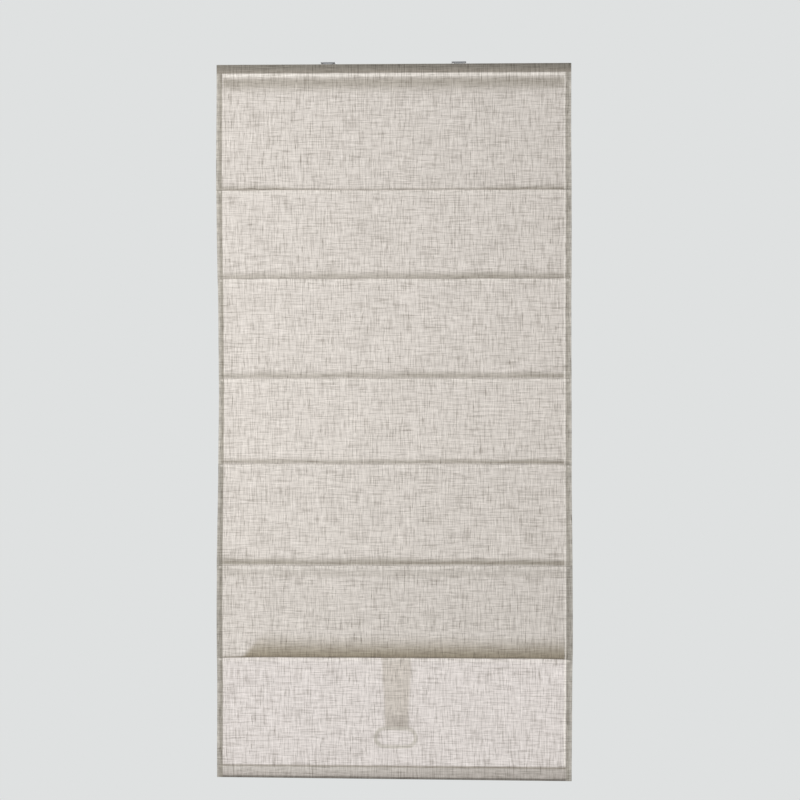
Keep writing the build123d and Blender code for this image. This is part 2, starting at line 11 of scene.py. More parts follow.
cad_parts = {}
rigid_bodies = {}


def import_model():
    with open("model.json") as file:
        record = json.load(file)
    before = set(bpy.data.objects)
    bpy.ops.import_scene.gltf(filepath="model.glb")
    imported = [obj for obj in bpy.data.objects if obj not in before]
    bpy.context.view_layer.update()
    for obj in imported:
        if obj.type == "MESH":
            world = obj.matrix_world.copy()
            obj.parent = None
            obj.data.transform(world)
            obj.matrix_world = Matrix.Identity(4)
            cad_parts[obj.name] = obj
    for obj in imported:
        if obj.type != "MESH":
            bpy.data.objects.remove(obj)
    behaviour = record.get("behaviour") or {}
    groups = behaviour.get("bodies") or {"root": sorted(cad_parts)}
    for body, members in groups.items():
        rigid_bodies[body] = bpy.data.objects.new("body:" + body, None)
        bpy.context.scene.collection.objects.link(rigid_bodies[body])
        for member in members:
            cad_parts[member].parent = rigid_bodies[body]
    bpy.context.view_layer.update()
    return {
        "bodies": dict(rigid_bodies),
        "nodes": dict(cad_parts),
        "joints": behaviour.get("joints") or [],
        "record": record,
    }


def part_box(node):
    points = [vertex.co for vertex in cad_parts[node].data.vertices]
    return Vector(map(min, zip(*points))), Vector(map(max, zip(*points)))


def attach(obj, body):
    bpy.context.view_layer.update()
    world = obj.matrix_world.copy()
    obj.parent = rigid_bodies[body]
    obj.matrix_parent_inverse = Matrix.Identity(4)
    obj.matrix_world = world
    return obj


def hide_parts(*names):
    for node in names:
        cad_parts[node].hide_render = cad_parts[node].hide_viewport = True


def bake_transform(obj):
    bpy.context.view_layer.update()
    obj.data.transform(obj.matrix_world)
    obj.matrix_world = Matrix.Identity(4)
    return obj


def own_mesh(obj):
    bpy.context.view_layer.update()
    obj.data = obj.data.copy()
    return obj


log = logging.getLogger("roman_blind")

Point = tuple[float, float]
Span = tuple[float, float]
Spot = tuple[float, float, float]
Series = tuple[float, ...]
Colour = tuple[int, int, int]
Shares = tuple[float, float, float, float]

MM = 0.001
NOISE_GAIN = 1.6
SEED_SLANT = 0.37
MIDDLE_TONE = 0.5

SEAMS = 6
RAIL_PANEL = 1
FOLD_PANEL = 6
LAST_PANEL = 7
BETWEEN_PANELS = 0.5

GROUND: Colour = (216, 209, 202)
# Painted shade: the doubled cloth, seam line and hem foot colours stand for how these places darken with
# light coming through from behind.
DOUBLED_SHADE: Colour = (166, 159, 148)
SEAM_SHADE_LINE: Colour = (126, 116, 101)
# Painted highlight: the lit edge colour.
LIT_EDGE: Colour = (236, 230, 222)
HEM_FOOT_SHADE: Colour = (112, 107, 100)


@dataclass(frozen=True)
class Texture:
    """How fine a surface pattern is, in lumps to the metre, and how deep, in metres."""

    lumps: float
    depth: float


class Grain(Enum):
    """The kind of fine surface that a small part has."""

    MOULDED = Texture(1100.0, 0.02 * MM)
    POWDER = Texture(1100.0, 0.04 * MM)
    PLATED = Texture(260.0, 0.01 * MM)
    DRAWN = Texture(1800.0, 0.02 * MM)
    BRAIDED = Texture(1100.0, 0.08 * MM)
    HOOKED = Texture(1100.0, 0.3 * MM)


class Side(Enum):
    """The two ends of the blind, as the sign of X."""

    LEFT = -1
    RIGHT = 1


class Behind(Enum):
    """What is painted as a shadow seen through a length of the cloth, apart from its tucks."""

    NOTHING = "nothing"
    RAIL = "headrail"
    STRAP = "pull strap and handle"


def linear(colour: Colour) -> Shares:
    """Turn a display colour into the linear one that a shader socket holds, by the standard curve."""
    shares = [channel / 255 for channel in colour]
    return (*(s / 12.92 if s <= 0.04045 else ((s + 0.055) / 1.055) ** 2.4 for s in shares), 1.0)


def smooth(value: float, low: float, high: float) -> float:
    """Step smoothly from 0 at low to 1 at high."""
    share = min(max((value - low) / (high - low), 0.0), 1.0)
    return share * share * (3 - 2 * share)


@dataclass(frozen=True)
class Wave:
    """A smooth irregular wave, different for each seam, panel or side."""

    length: float
    seed: float = 0.0
    each: float = 0.0
    size: float = 1.0

    def read(self, place: float, number: float = 0.0) -> float:
        """Read the wave."""
        seed = self.seed + self.each * number
        return self.size * NOISE_GAIN * noise.noise(Vector((place / self.length, seed, SEED_SLANT * seed)))


@dataclass(frozen=True)
class Patches:
    """Smooth irregular patches over the cloth, different for each panel."""

    wide: float
    tall: float
    seed: float = 0.0
    each: float = 0.0

    def read(self, x: float, z: float, panel: int = 0) -> float:
        """Read the patches."""
        return noise.noise(Vector((x / self.wide, z / self.tall, self.seed + self.each * panel)))


class Shading:
    """Adds nodes to one node tree and links them as they are made."""

    def __init__(self, tree: NodeTree) -> None:
        """Keep the tree that the nodes go in."""
        self.tree = tree

    def feed(self, socket: Socket, value: object) -> None:
        """Link an input to an output, or set its value.

        Args:
            socket: The input.
            value: An output socket, a number, a vector, a linear colour or a display colour.
        """
        if isinstance(value, Socket):
            self.tree.links.new(value, socket)
        elif socket.type == "RGBA" and len(value) == 3:
            socket.default_value = linear(value)
        else:
            socket.default_value = value

    def node(self, kind: str, values: dict | None = None, **settings: object) -> bpy.types.Node:
        """Add one node.

        Args:
            kind: Blender's type name of the node.
            values: What feeds each input, by its name or number.
            settings: Values for the node's own options.

        Returns:
            The new node.
        """
        made = self.tree.nodes.new(kind)
        for name, value in settings.items():
            setattr(made, name, value)
        for name, value in (values or {}).items():
            self.feed(made.inputs[name], value)
        return made

    def group(self, tree: NodeTree, values: dict) -> bpy.types.NodeOutputs:
        """Place a node group."""
        return self.node("ShaderNodeGroup", values, node_tree=tree).outputs

    def math(self, operation: str, *values: object) -> Socket:
        """Work out one value from up to three."""
        return self.node("ShaderNodeMath", dict(enumerate(values)), operation=operation).outputs[0]

    def product(self, first: object, *others: object) -> object:
        """Multiply several values.

        Args:
            first: First number or socket.
            others: The other ones.

        Returns:
            The output socket.
        """
        for other in others:
            first = self.math("MULTIPLY", first, other)
        return first

    def step(self, value: object, low: object, high: object, start: float = 0.0, end: float = 1.0) -> Socket:
        """Step smoothly from one height at low to another at high.

        Args:
            value: Where to read the step.
            low: Where it starts.
            high: Where it ends.
            start: The height at low.
            end: The height at high.

        Returns:
            The output socket.
        """
        ends = {"Value": value, "From Min": low, "From Max": high, "To Min": start, "To Max": end}
        made = self.node("ShaderNodeMapRange", ends, interpolation_type="SMOOTHSTEP", clamp=True)
        return made.outputs["Result"]

    def fade(self, value: object, low: object, high: object) -> Socket:
        """Fade from 1 at low to 0 at high."""
        return self.step(value, low, high, 1.0, 0.0)

    def near(self, value: object, middle: float, full: float, gone: float) -> Socket:
        """Mark a stripe."""
        return self.fade(self.math("ABSOLUTE", self.math("SUBTRACT", value, middle)), full, gone)

    def spread(self, value: object, low: float, high: float) -> Socket:
        """Stretch a value that runs from 0 to 1 over another range."""
        ends = {"Value": value, "To Min": low, "To Max": high}
        return self.node("ShaderNodeMapRange", ends, clamp=True).outputs["Result"]

    def tint(self, share: object, first: object, second: object, blend: str = "MIX") -> Socket:
        """Mix two colours.

        Args:
            share: How much of the second colour is used, from 0 to 1.
            first: First colour or socket.
            second: Second colour or socket.
            blend: How the two are put together.

        Returns:
            The colour's output socket.
        """
        ends = {0: share, 6: first, 7: second}
        made = self.node("ShaderNodeMix", ends, data_type="RGBA", blend_type=blend, clamp_factor=True)
        return made.outputs[2]

    def times(self, colour: object, factor: Socket) -> Socket:
        """Multiply a colour."""
        return self.tint(1.0, colour, factor, "MULTIPLY")

    def clouds(self, vector: object, lumps: float, detail: float = 2.0, rough: float = 0.5) -> Socket:
        """Read soft irregular noise."""
        values = {"Vector": vector, "Scale": lumps, "Detail": detail, "Roughness": rough}
        return self.node("ShaderNodeTexNoise", values, noise_dimensions="3D").outputs["Fac"]

    def stretched(self, vector: object, scale: Spot) -> Socket:
        """Scale a coordinate."""
        return self.node("ShaderNodeMapping", {"Vector": vector, "Scale": scale}).outputs["Vector"]

    def parts(self, vector: object) -> tuple[Socket, ...]:
        """Split a coordinate."""
        return tuple(self.node("ShaderNodeSeparateXYZ", {0: vector}).outputs)

    def joined(self, *parts: object) -> Socket:
        """Make a coordinate."""
        return self.node("ShaderNodeCombineXYZ", dict(enumerate(parts))).outputs[0]

    def held(self, name: str, output: str = "Vector") -> Socket:
        """Read a value that the mesh holds."""
        return self.node("ShaderNodeAttribute", attribute_name=name).outputs[output]

    def bump(
        self, height: Socket, depth: float, strength: float = 0.6, under: Socket | None = None
    ) -> Socket:
        """Turn a height into a surface direction.

        Args:
            height: The height's socket.
            depth: How deep it is, in metres.
            strength: How strongly it shows.
            under: The direction that it is laid over.

        Returns:
            The direction's output socket.
        """
        values = {"Height": height, "Distance": depth, "Strength": strength}
        if under is not None:
            values["Normal"] = under
        return self.node("ShaderNodeBump", values).outputs["Normal"]


class Surface(Shading):
    """A new material's node tree, with its principled surface."""

    def __init__(self, name: str) -> None:
        """Make the material.

        Args:
            name: Its name.
        """
        self.material = bpy.data.materials.new(name)
        self.material.use_nodes = True
        super().__init__(self.material.node_tree)

    def set(self, values: dict[str, object]) -> None:
        """Feed the surface."""
        for name, value in values.items():
            self.feed(self.tree.nodes["Principled BSDF"].inputs[name], value)


class Effect(Shading):
    """A new node group, made once and shared by the materials."""

    def __init__(self, name: str, inputs: dict[str, float | None], outputs: tuple[str, ...]) -> None:
        """Make the group.

        Args:
            name: Its name.
            inputs: Each input's value by its label; one without a value is a coordinate.
            outputs: The outputs' labels, all of them numbers.
        """
        super().__init__(bpy.data.node_groups.new(name, "ShaderNodeTree"))
        for label, value in inputs.items():
            kind = "NodeSocketVector" if value is None else "NodeSocketFloat"
            made = self.tree.interface.new_socket(name=label, in_out="INPUT", socket_type=kind)
            if value is not None:
                made.default_value = value
        for label in outputs:
            self.tree.interface.new_socket(name=label, in_out="OUTPUT", socket_type="NodeSocketFloat")
        self.given = self.node("NodeGroupInput").outputs
        self.out = self.node("NodeGroupOutput").inputs


class Effects:
    """The node groups that several finishes of the blind use."""

    def __init__(self) -> None:
        """Build every group once."""
        self.threads = self.slub_threads()
        self.weave = self.plain_weave()
        self.skin = self.fine_skin()
        self.handling = self.worn_places()

    def slub_threads(self) -> NodeTree:
        """Build the uneven dark threads that run one way through a linen cloth.

        Returns:
            The group's tree, which puts out a mask of the dark threads.
        """
        inputs = {"Cloth": None, "Threads": 500.0, "Length": 20.0, "Seed": 0.0, "Few": 0.55, "Many": 0.75}
        made = Effect("Slub threads", inputs, ("Dark",))
        given = made.given
        x, y, _ = made.parts(given["Cloth"])
        along, over = made.math("MULTIPLY", x, given["Length"]), made.math("MULTIPLY", y, given["Threads"])
        place = made.joined(along, over, given["Seed"])
        strands = made.clouds(place, lumps=1.0, detail=1.0, rough=0.6)
        made.feed(made.out["Dark"], made.step(strands, given["Few"], given["Many"]))
        return made.tree

    def plain_weave(self) -> NodeTree:
        """Build the over and under of single threads.

        Returns:
            The group's tree, which puts out the height of the weave.
        """
        made = Effect("Plain weave", {"Cloth": None, "Threads": 1500.0, "Unevenness": 0.35}, ("Height",))
        given, half, drift_turns = made.given, 0.5, 9.0
        x, y, _ = made.parts(given["Cloth"])
        turn = made.math("MULTIPLY", given["Threads"], pi)
        sway = made.math("MULTIPLY", made.clouds(given["Cloth"], lumps=160.0), drift_turns)
        warp, weft = (made.math("SINE", made.math("MULTIPLY_ADD", way, turn, sway)) for way in (x, y))
        crossing = made.math("MULTIPLY_ADD", made.math("MULTIPLY", warp, weft), half, half)
        fuzz = made.math("MULTIPLY", made.clouds(given["Cloth"], lumps=2600.0), given["Unevenness"])
        made.feed(made.out["Height"], made.math("ADD", crossing, fuzz))
        return made.tree

    def fine_skin(self) -> NodeTree:
        """Build the fine surface of a moulded, coated or drawn part.

        Returns:
            The group's tree, which puts out a height, a roughness change and a tone change.
        """
        inputs = {"Place": None, "Grain": 900.0, "Roughness": 0.4, "Variation": 0.1}
        made = Effect("Fine skin", inputs, ("Height", "Roughness", "Tone"))
        given = made.given
        fine = made.clouds(given["Place"], given["Grain"], detail=3.0, rough=0.6)
        broad = made.clouds(given["Place"], lumps=24.0, detail=3.0)
        shift, sparkle = (
            made.math("MULTIPLY", made.math("SUBTRACT", layer, MIDDLE_TONE), given["Variation"])
            for layer in (broad, fine)
        )
        rough = made.math("ADD", given["Roughness"], shift)
        made.feed(made.out["Height"], fine)
        made.feed(made.out["Roughness"], made.math("ADD", rough, sparkle))
        made.feed(made.out["Tone"], made.math("ADD", 1.0, shift))
        return made.tree

    def worn_places(self) -> NodeTree:
        """Build the faint dust and rubbing that a part collects in use.

        Returns:
            The group's tree, which puts out a mask of the dulled places.
        """
        made = Effect("Dust and rubbing", {"Place": None, "Amount": 0.3}, ("Mask",))
        place = made.given["Place"]
        patches = made.step(made.clouds(place, lumps=35.0, detail=4.0, rough=0.65), low=0.45, high=0.75)
        specks = made.step(made.clouds(place, lumps=700.0, detail=1.0), low=0.62, high=0.72)
        both = made.math("MAXIMUM", patches, specks)
        made.feed(made.out["Mask"], made.math("MULTIPLY", both, made.given["Amount"]))
        return made.tree


@dataclass(frozen=True)
class SmallFinish:
    """The finish of a small hard or soft part, by the name of its material slot."""

    slot: str
    colour: Colour
    grain: Grain
    roughness: float
    metallic: float = 0.0
    clear: float = 0.0
    dust: float = 0.25
    variation: float = 0.12
    refraction: float = 1.49
    dull_share: float = 0.9
    dull_lift: float = 12.0
    dull_rough: float = 0.25
    fibre_sheen: float = 0.2
    drawn_scale: Spot = (0.03, 1.0, 1.0)
    plait_turns: float = 4200.0
    hook_cells: float = 900.0

    def relief(self, surface: Surface, place: Socket, fine: Socket) -> Socket:
        """Give the height of the part's surface pattern.

        Args:
            surface: The material that is being made.
            place: The coordinate.
            fine: The fine skin's height.

        Returns:
            The height's output socket.
        """
        if self.grain is Grain.BRAIDED:
            x, y, z = surface.parts(place)
            around = surface.math("ADD", x, y)
            turned = (surface.math(way, z, around) for way in ("ADD", "SUBTRACT"))
            plait = (surface.math("SINE", surface.math("MULTIPLY", way, self.plait_turns)) for way in turned)
            return surface.math("MAXIMUM", *plait)
        if self.grain is Grain.HOOKED:
            cells = surface.node("ShaderNodeTexVoronoi", {"Vector": place, "Scale": self.hook_cells})
            return cells.outputs["Distance"]
        return fine

    def build(self, effects: Effects) -> Material:
        """Make the material.

        Args:
            effects: The shared node groups.

        Returns:
            The material.
        """
        surface = Surface(self.slot)
        place = surface.node("ShaderNodeTexCoord").outputs["Object"]
        if self.grain is Grain.DRAWN:
            place = surface.stretched(place, self.drawn_scale)
        given = {"Place": place, "Grain": self.grain.value.lumps, "Roughness": self.roughness}
        skin = surface.group(effects.skin, {**given, "Variation": self.variation})
        worn = surface.group(effects.handling, {"Place": place, "Amount": self.dust})["Mask"]
        dull = tuple(int(channel * self.dull_share + self.dull_lift) for channel in self.colour)
        fibrous = self.grain in (Grain.BRAIDED, Grain.HOOKED)
        height = self.relief(surface, place, skin["Height"])
        surface.set({
            "Base Color": surface.tint(worn, surface.times(self.colour, skin["Tone"]), dull),
            "Roughness": surface.math("MULTIPLY_ADD", worn, self.dull_rough, skin["Roughness"]),
            "Normal": surface.bump(height, self.grain.value.depth),
            "Metallic": self.metallic,
            "Transmission Weight": self.clear,
            "IOR": self.refraction,
            "Sheen Weight": self.fibre_sheen if fibrous else 0.0,
        })
        return surface.material


SMALL_FINISHES = (
    SmallFinish("tape", (226, 226, 222), Grain.HOOKED, 0.9),
    SmallFinish("cord", (219, 215, 206), Grain.BRAIDED, 0.75),
    SmallFinish("rail_paint", (234, 233, 229), Grain.POWDER, 0.42),
    SmallFinish("zinc_steel", (176, 178, 180), Grain.PLATED, 0.34, metallic=1.0),
    SmallFinish("shaft_steel", (168, 168, 170), Grain.DRAWN, 0.3, metallic=1.0),
    SmallFinish("spring_steel", (104, 110, 124), Grain.DRAWN, 0.3, metallic=1.0),
    SmallFinish("rod_steel", (150, 150, 152), Grain.DRAWN, 0.36, metallic=1.0),
    SmallFinish("white_plastic", (232, 231, 227), Grain.MOULDED, 0.45),
    SmallFinish("grey_plastic", (92, 94, 99), Grain.MOULDED, 0.5),
    SmallFinish("batten_plastic", (224, 224, 218), Grain.DRAWN, 0.5),
    SmallFinish("clear_plastic", (238, 240, 240), Grain.MOULDED, 0.12, clear=0.9, dust=0.1),
    SmallFinish("handle_plastic", (226, 219, 203), Grain.MOULDED, 0.28, clear=0.15),
)
SEWING_THREAD = SmallFinish("sewing_thread", (176, 168, 157), Grain.BRAIDED, 0.8)


@dataclass(frozen=True)
class Slubs:
    """One layer of uneven threads in the linen."""

    upright: bool
    threads: float
    length: float
    seed: float
    few: float
    many: float
    share: float


@dataclass(frozen=True)
class Linen:
    """The uneven threads of the blind's linen, as factors on the colour under them."""

    base: float = 0.3
    share: float = 0.38
    pale: Shares = (1.215, 1.22, 1.225, 1.0)
    dark: Shares = (0.46, 0.44, 0.41, 1.0)
    layers: tuple[Slubs, ...] = (
        Slubs(upright=False, threads=340.0, length=18.0, seed=0.0, few=0.48, many=0.66, share=0.64),
        Slubs(upright=True, threads=340.0, length=22.0, seed=5.0, few=0.48, many=0.66, share=0.72),
        Slubs(upright=False, threads=210.0, length=9.0, seed=9.0, few=0.55, many=0.72, share=0.26),
        Slubs(upright=True, threads=230.0, length=13.0, seed=14.0, few=0.55, many=0.72, share=0.32),
        Slubs(upright=False, threads=620.0, length=40.0, seed=19.0, few=0.42, many=0.66, share=0.40),
        Slubs(upright=True, threads=620.0, length=44.0, seed=23.0, few=0.42, many=0.66, share=0.40),
        Slubs(upright=True, threads=330.0, length=30.0, seed=31.0, few=0.66, many=0.71, share=1.1),
        Slubs(upright=False, threads=330.0, length=20.0, seed=37.0, few=0.67, many=0.72, share=0.8),
        Slubs(upright=True, threads=400.0, length=26.0, seed=43.0, few=0.56, many=0.70, share=-0.6),
        Slubs(upright=False, threads=400.0, length=26.0, seed=47.0, few=0.56, many=0.70, share=-0.5),
    )

    def lay(self, effects: Effects, surface: Surface, flat: Socket, colour: object) -> tuple[Socket, Socket]:
        """Lay the threads over a colour.

        Args:
            effects: The shared node groups.
            surface: The material that is being made.
            flat: The place on the flat cloth.
            colour: The colour under them.

        Returns:
            The woven colour and the height of the slubs.
        """
        x, y, _ = surface.parts(flat)
        turned = surface.joined(y, x)
        total: object = self.base
        for slubs in self.layers:
            values = {"Cloth": turned if slubs.upright else flat, "Threads": slubs.threads,
                      "Seed": slubs.seed, "Length": slubs.length, "Few": slubs.few, "Many": slubs.many}
            dark = surface.group(effects.threads, values)["Dark"]
            total = surface.math("MULTIPLY_ADD", dark, slubs.share, total)
        threads = surface.tint(surface.product(total, self.share), self.pale, self.dark)
        return surface.times(colour, threads), total


@dataclass(frozen=True)
class Row:
    """One line across the cloth at rest, before its waves are added, in metres."""

    y: float
    z: float
    panel: int
    seam: int
    below: float
    above: float
    slack: float = 0.0
    sag: float = 0.0
    hemmed: bool = False
    tucked: bool = False


@dataclass(frozen=True)
class Hanging:
    """Where the cloth hangs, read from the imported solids, in metres."""

    half_width: float
    top: float
    bottom: float
    seams: Series
    tucks: Series
    front: float
    rod: Point
    cloth: float = 0.6 * MM
    batten_room: float = 0.8 * MM
    tuck_depth: float = 3.1 * MM
    tuck_height: float = 18.0 * MM
    tuck_corner: float = 0.9 * MM
    tuck_foot: Span = (1.4 * MM, 1.0 * MM)
    rising_shares: Series = (0.0, 0.15, 0.35, 0.6, 0.85, 1.0)
    falling_shares: Series = (0.2, 0.4, 0.65, 0.85, 1.0)
    seam_gap: float = 0.1 * MM
    side_hem: float = 13.0 * MM
    hem_end: float = 1.5 * MM
    bottom_hem: float = 27.0 * MM
    hem_loop: float = 2.95 * MM
    hem_wall: float = 8.0 * MM
    hem_lap: float = 0.75 * MM
    hem_turn: Span = (190.0, 360.0)
    wall_shares: Series = (0.3, 0.65, 1.0)
    lap_shares: Series = (0.2, 0.5, 0.8, 0.95, 1.0)
    roll_height: float = 25.0 * MM
    roll_depth: float = 2.1 * MM
    rail_hold: float = 30.0 * MM
    seam_hold: float = 4.0 * MM
    slack_rise: float = 30.0 * MM
    foot_rise: float = 35.0 * MM
    foot_hold: float = 0.6
    sag_start: float = 2.0 * MM
    sag_below: float = 45.0 * MM
    sag_above: float = 22.0 * MM
    sag_last: float = 40.0 * MM
    tuck_sag: Span = (1.0 * MM, 14.0 * MM)
    tuck_below: float = 0.1
    hem_below: float = 0.25
    row_steps: Span = (0.8 * MM, 6.5 * MM)

    @classmethod
    def read(cls) -> "Hanging":
        """Read the places of the battens, the top panel and the hem's weight.

        Returns:
            The places of the cloth.
        """
        lows = [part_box(f"batten_{number}")[0] for number in range(1, SEAMS + 1)]
        first_low, first_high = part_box("shade_panel_1")
        rod_low, rod_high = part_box("hem_rod")
        return cls(
            half_width=first_high[0],
            top=first_high[2],
            bottom=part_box("shade_panel_7")[0][2],
            seams=tuple(low[2] - cls.batten_room for low in lows),
            tucks=tuple(low[1] - cls.batten_room for low in lows),
            front=first_low[1],
            rod=((rod_low[1] + rod_high[1]) / 2, (rod_low[2] + rod_high[2]) / 2),
        )

    def panel_ends(self, panel: int) -> tuple[Point, Point]:
        """Find the middle of the cloth at the upper and lower end of a panel.

        Args:
            panel: Number of the panel, from 1 at the top to 7.

        Returns:
            The two ends, each as Y and Z.
        """
        half = self.cloth / 2
        upper = (self.front + half, self.top)
        if panel > RAIL_PANEL:
            upper = (self.tucks[panel - 2] + self.tuck_depth - half, self.seams[panel - 2])
        if panel == LAST_PANEL:
            return upper, (upper[0], self.rod[1])
        gap = half if panel % 2 else half + self.seam_gap
        return upper, (self.tucks[panel - 1] - gap, self.seams[panel - 1])

    def panel_row(self, panel: int, below: float) -> Row:
        """Find the line across a panel at a distance below its upper end.

        Args:
            panel: Number of the panel.
            below: Distance below its upper end, in metres.

        Returns:
            The row there.
        """
        (top_y, top_z), (foot_y, foot_z) = self.panel_ends(panel)
        first, last = panel == RAIL_PANEL, panel == LAST_PANEL
        drop = top_z - foot_z
        above = drop - below
        roll = 0.0 if first else self.roll_depth * (1 - smooth(below, 0.0, self.roll_height))
        held_top = self.rail_hold if first else self.seam_hold
        held_foot = self.bottom_hem if last else self.tuck_height
        slack = smooth(below, held_top, held_top + self.slack_rise)
        slack *= smooth(above, held_foot * self.foot_hold, held_foot + self.foot_rise)
        near_top = 0.0 if first else 1 - smooth(below, 0.0, self.sag_below)
        near_foot = 1 - smooth(above, self.sag_start, self.sag_last if last else self.sag_above)
        return Row(
            y=top_y + (foot_y - top_y) * below / drop - roll,
            z=top_z - below,
            panel=panel,
            seam=panel - 1 if near_top > near_foot else panel,
            below=below,
            above=above + (self.rod[1] - self.bottom if last else 0.0),
            slack=slack,
            sag=max(near_top, near_foot),
            hemmed=below > self.hem_end and above > held_foot + self.hem_end,
        )

    def panel_rows(self, panel: int) -> list[Row]:
        """List the lines across a panel, closer together near its ends."""
        (_, top_z), (_, foot_z) = self.panel_ends(panel)
        return [self.panel_row(panel, below) for below in spaced(top_z - foot_z, *self.row_steps)]

    def tuck_rows(self, seam: int) -> list[Row]:
        """List the lines across the tuck above a seam: up behind the panel, over its batten and down again.

        Args:
            seam: Number of the seam, from 1 to 6.

        Returns:
            The rows, from the foot of the tuck's front wall to where the next panel starts.
        """
        front, foot, half = self.tucks[seam - 1], self.seams[seam - 1], self.cloth / 2
        corner = self.tuck_corner
        near, far = front + half, front + self.tuck_depth - half
        low, high = foot + half, foot + self.tuck_height - half
        line = [(near, low + share * (high - corner - low)) for share in self.rising_shares]
        line += arc((near + corner, high - corner), corner, 180, 90)
        line += arc((far - corner, high - corner), corner, 90, 0)
        line += [(far, high - corner - share * (high - low - 2 * corner)) for share in self.falling_shares]
        line += arc((far - corner, low + corner), corner, 0, -90)
        line += [(front + depth, low) for depth in self.tuck_foot]
        return [
            Row(y=y, z=z, panel=seam, seam=seam, below=self.tuck_below, above=z - foot,
                sag=1 - smooth(z - foot, *self.tuck_sag), tucked=True)
            for y, z in line
        ]

    def hem_rows(self) -> list[Row]:
        """List the lines round the weight in the bottom hem and up its back.

        Returns:
            The rows, from the foot of the front to the edge that is sewn down behind.
        """
        line = arc(self.rod, self.hem_loop, *self.hem_turn)[1:]
        last_y, last_z = line[-1][0], self.rod[1] + self.hem_wall
        edge_y, edge_z = self.panel_ends(LAST_PANEL)[1][0] + self.hem_lap, self.bottom + self.bottom_hem
        line += [(last_y, self.rod[1] + share * self.hem_wall) for share in self.wall_shares]
        for share in self.lap_shares:
            line.append((last_y + (edge_y - last_y) * share, last_z + (edge_z - last_z) * share))
        return [
            Row(y=y, z=z, panel=LAST_PANEL, seam=LAST_PANEL, below=self.hem_below,
                above=abs(z - self.bottom), sag=1.0)
            for y, z in line
        ]


def spaced(length: float, first: float, widest: float, growth: float = 0.22) -> list[float]:
    """Divide a length into steps that are short near both ends.

    Args:
        length: The length, in metres.
        first: The step at each end.
        widest: The longest step.
        growth: How much a step grows with its distance from the end.

    Returns:
        Distances from 0 to the length.
    """
    steps, reached = [], 0.0
    while reached < length / 2:
        steps.append(min(widest, first + growth * reached))
        reached += steps[-1]
    both = steps + steps[::-1]
    scale = length / sum(both)
    places = [0.0]
    for step in both:
        places.append(places[-1] + step * scale)
    return places


def arc(centre: Point, radius: float, start: float, end: float, parts: int = 5) -> list[Point]:
    """List points round part of a circle."""
    turns = [radians(start + (end - start) * step / parts) for step in range(parts + 1)]
    return [(centre[0] + radius * cos(turn), centre[1] + radius * sin(turn)) for turn in turns]


@dataclass(frozen=True)
class Bow:
    """How an edge of the hanging cloth bends sideways: its size towards +X and its height."""

    size: float
    height: float


